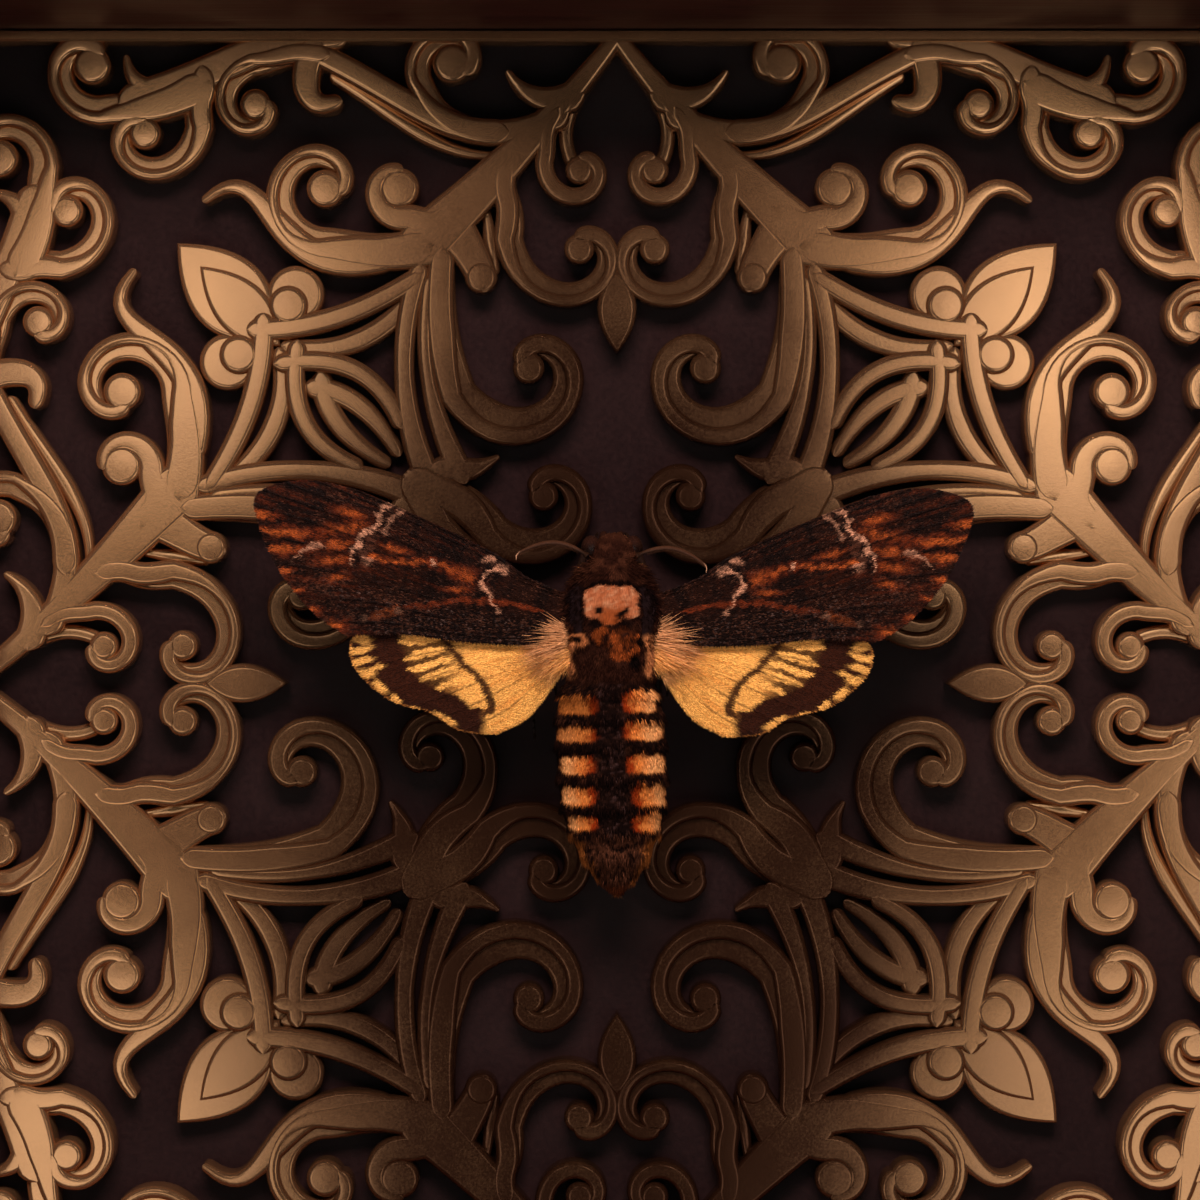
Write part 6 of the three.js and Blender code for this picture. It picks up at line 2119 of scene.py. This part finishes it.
@dataclass
class Studio:
    """A pale floor, soft lights at both sides, and the camera where the photograph was taken."""

    eye: tuple[float, float, float] = (-2.66, -601.8, 133.0)
    lens: float = 118.8
    sensor: float = 36.0
    floor_half: float = 1500.0
    glow_front: float = -620.0

    # Soft lights that the gilt mirrors: name, (across, up), size and power.
    GLOWS = (
        ("glow_upper_left", (-130, 221), (104, 90), 0.034), ("glow_upper_right", (134, 211), (96, 96), 0.045),
        ("glow_left", (-236, 92), (70, 120), 0.017), ("glow_right", (226, 97), (70, 130), 0.0165),
        ("glow_lower_left", (-212, -58), (220, 130), 0.08),
        ("glow_lower_right", (200, -86), (220, 220), 0.104),
    )

    def build(self) -> None:
        """Makes the floor, the lights and the camera."""
        self.build_camera()
        self.build_floor()
        white, warm = (1.0, 0.97, 0.95), (1.0, 0.77, 0.7)
        for name, (across, up), size, power in self.GLOWS:
            glow = self.area_light(name, (across, self.glow_front, up), (across, 0, up), size, power, white)
            glow.visible_camera = False
            glow.visible_diffuse = False
        key = self.area_light("key", (0, -560, 520), (0, 0, 132), (360, 200), 7.0, warm)
        key.visible_glossy = False
        self.area_light("back_left", (-600, 500, 420), (0, 0, 120), (400, 400), 4.6, white)
        self.area_light("back_right", (600, 420, 380), (0, 0, 120), (400, 400), 3.4, white)
        world = bpy.data.worlds.new("room")
        bpy.context.scene.world = world
        world.use_nodes = True
        back = world.node_tree.nodes["Background"]
        back.inputs["Color"].default_value = (0.75, 0.68, 0.64, 1)
        back.inputs["Strength"].default_value = 0.03
        bpy.context.scene.view_settings.view_transform = "Standard"

    def build_camera(self) -> None:
        """The camera, level and looking straight at the panel."""
        data = bpy.data.cameras.new("camera")
        data.lens = self.lens
        data.sensor_width = self.sensor
        data.clip_end = 20
        camera = bpy.data.objects.new("camera", data)
        camera.location = Vector(self.eye) * MM
        camera.rotation_euler = (math.pi / 2, 0, 0)
        bpy.context.scene.collection.objects.link(camera)
        bpy.context.scene.camera = camera

    def build_floor(self) -> None:
        """A plain pale floor under the case."""
        half = self.floor_half
        corners = np.array([(-half, -half, 0), (half, -half, 0), (half, half, 0), (-half, half, 0)], float)
        finish = PaintFinish("floor_paint", (206, 202, 198), (214, 210, 206), 6.0, 0.02, 0.8).material()
        floor = make_piece("floor", corners, [np.array([[0, 1, 2, 3]])], finish)
        floor.visible_glossy = False
        floor.visible_shadow = False

    @staticmethod
    def area_light(
        name: str, place: Sequence[float], aim: Sequence[float], size: tuple[float, float], power: float,
        tint: Sequence[float],
    ) -> bpy.types.Object:
        """A soft rectangular light.

        Args:
            name: the light's name.
            place: where it stands, in millimetres.
            aim: where it points.
            size: its width and height in millimetres.
            power: its power in watts.
            tint: its colour.

        Returns:
            The light.
        """
        data = bpy.data.lights.new(name, "AREA")
        data.shape = "RECTANGLE"
        data.size, data.size_y = size[0] * MM, size[1] * MM
        data.energy = power
        data.color = tint
        light = bpy.data.objects.new(name, data)
        light.location = Vector(place) * MM
        toward = Vector(aim) - Vector(place)
        light.rotation_euler = toward.to_track_quat("-Z", "Y").to_euler()
        bpy.context.scene.collection.objects.link(light)
        return light


# Each leg's hip, knee, ankle and toe in the moth's frame, at the viewer's right.
LEGS = {
    "foreleg": ((2.3, 0.8, -7.6), (5.2, 4.6, -11.0), (4.0, 8.8, -11.6), (2.4, 10.8, -10.6)),
    "midleg": ((3.4, -3.4, -7.5), (8.0, -0.6, -10.6), (9.4, -8.2, -12.0), (8.6, -13.6, -12.2)),
    "hindleg": ((2.6, -7.6, -7.4), (7.0, -8.6, -11.0), (7.4, -15.4, -12.4), (5.6, -21.6, -12.2)),
}
SPLAYED_HINDLEG = ((2.6, -7.6, -7.4), (8.6, -9.6, -11.0), (12.4, -14.4, -12.4), (11.9, -20.2, -12.2))
# How far each wing and each feeler is turned up, in degrees.
RAISED = {
    (WingPair.FORE, Side.LEFT): 0.9, (WingPair.FORE, Side.RIGHT): -0.9,
    (WingPair.HIND, Side.LEFT): 1.1, (WingPair.HIND, Side.RIGHT): -1.1,
}
FEELER_TURN = {Side.LEFT: 0.0, Side.RIGHT: -10.0}


@dataclass
class Moth:
    """The whole moth, sub-assembly by sub-assembly."""

    def build(self) -> None:
        """Builds the body, the wings, the head's parts and the legs."""
        hair = CoatFinish("coat_hair").material()
        scale = CoatFinish("wing_scale", 0.62, 0.02, 0.3, 0.3, 0.16).material()
        membrane = SkinFinish("wing_membrane", 0.05, 0.3).material()
        skin = SkinFinish("body_pelt", 0.12, 0.2, 0.8, (1.0, 1.0, 3.0)).material()
        Trunk(hair, skin).build()
        log.info("trunk built")
        for side in Side:
            fore, hind = (Wing(pair, side, RAISED[pair, side], scale, membrane) for pair in WingPair)
            hind.span_points = 84
            for wing in (fore, hind):
                wing.build()
                log.info("%s built", wing.name)
            WingHair(side, hind, hair).build()
        eye = HornFinish("eye_gloss", 0.28, 0.3, 0.12).material()
        feeler = HornFinish("feeler_horn", 0.5).material()
        horn = HornFinish("mouth_horn", 0.4).material()
        shell = HornFinish("leg_shell", 0.55).material()
        for side in Side:
            Eye(side, eye).build()
            Feeler(side, FEELER_TURN[side], feeler).build()
            for name, joints in LEGS.items():
                splayed = name == "hindleg" and side is Side.LEFT
                Leg(name, side, SPLAYED_HINDLEG if splayed else joints, hair, shell).build()
        MouthParts(hair, skin, horn).build()
        log.info("head parts and legs built")


def main() -> None:
    """Builds the studio, the case and the moth."""
    logging.basicConfig(level=logging.INFO, format="%(name)s: %(message)s")
    Studio().build()
    Case().build()
    ScrollPanel(GiltFinish().material()).build()
    log.info("case and panel built")
    Moth().build()


if __name__ == "__main__":
    main()
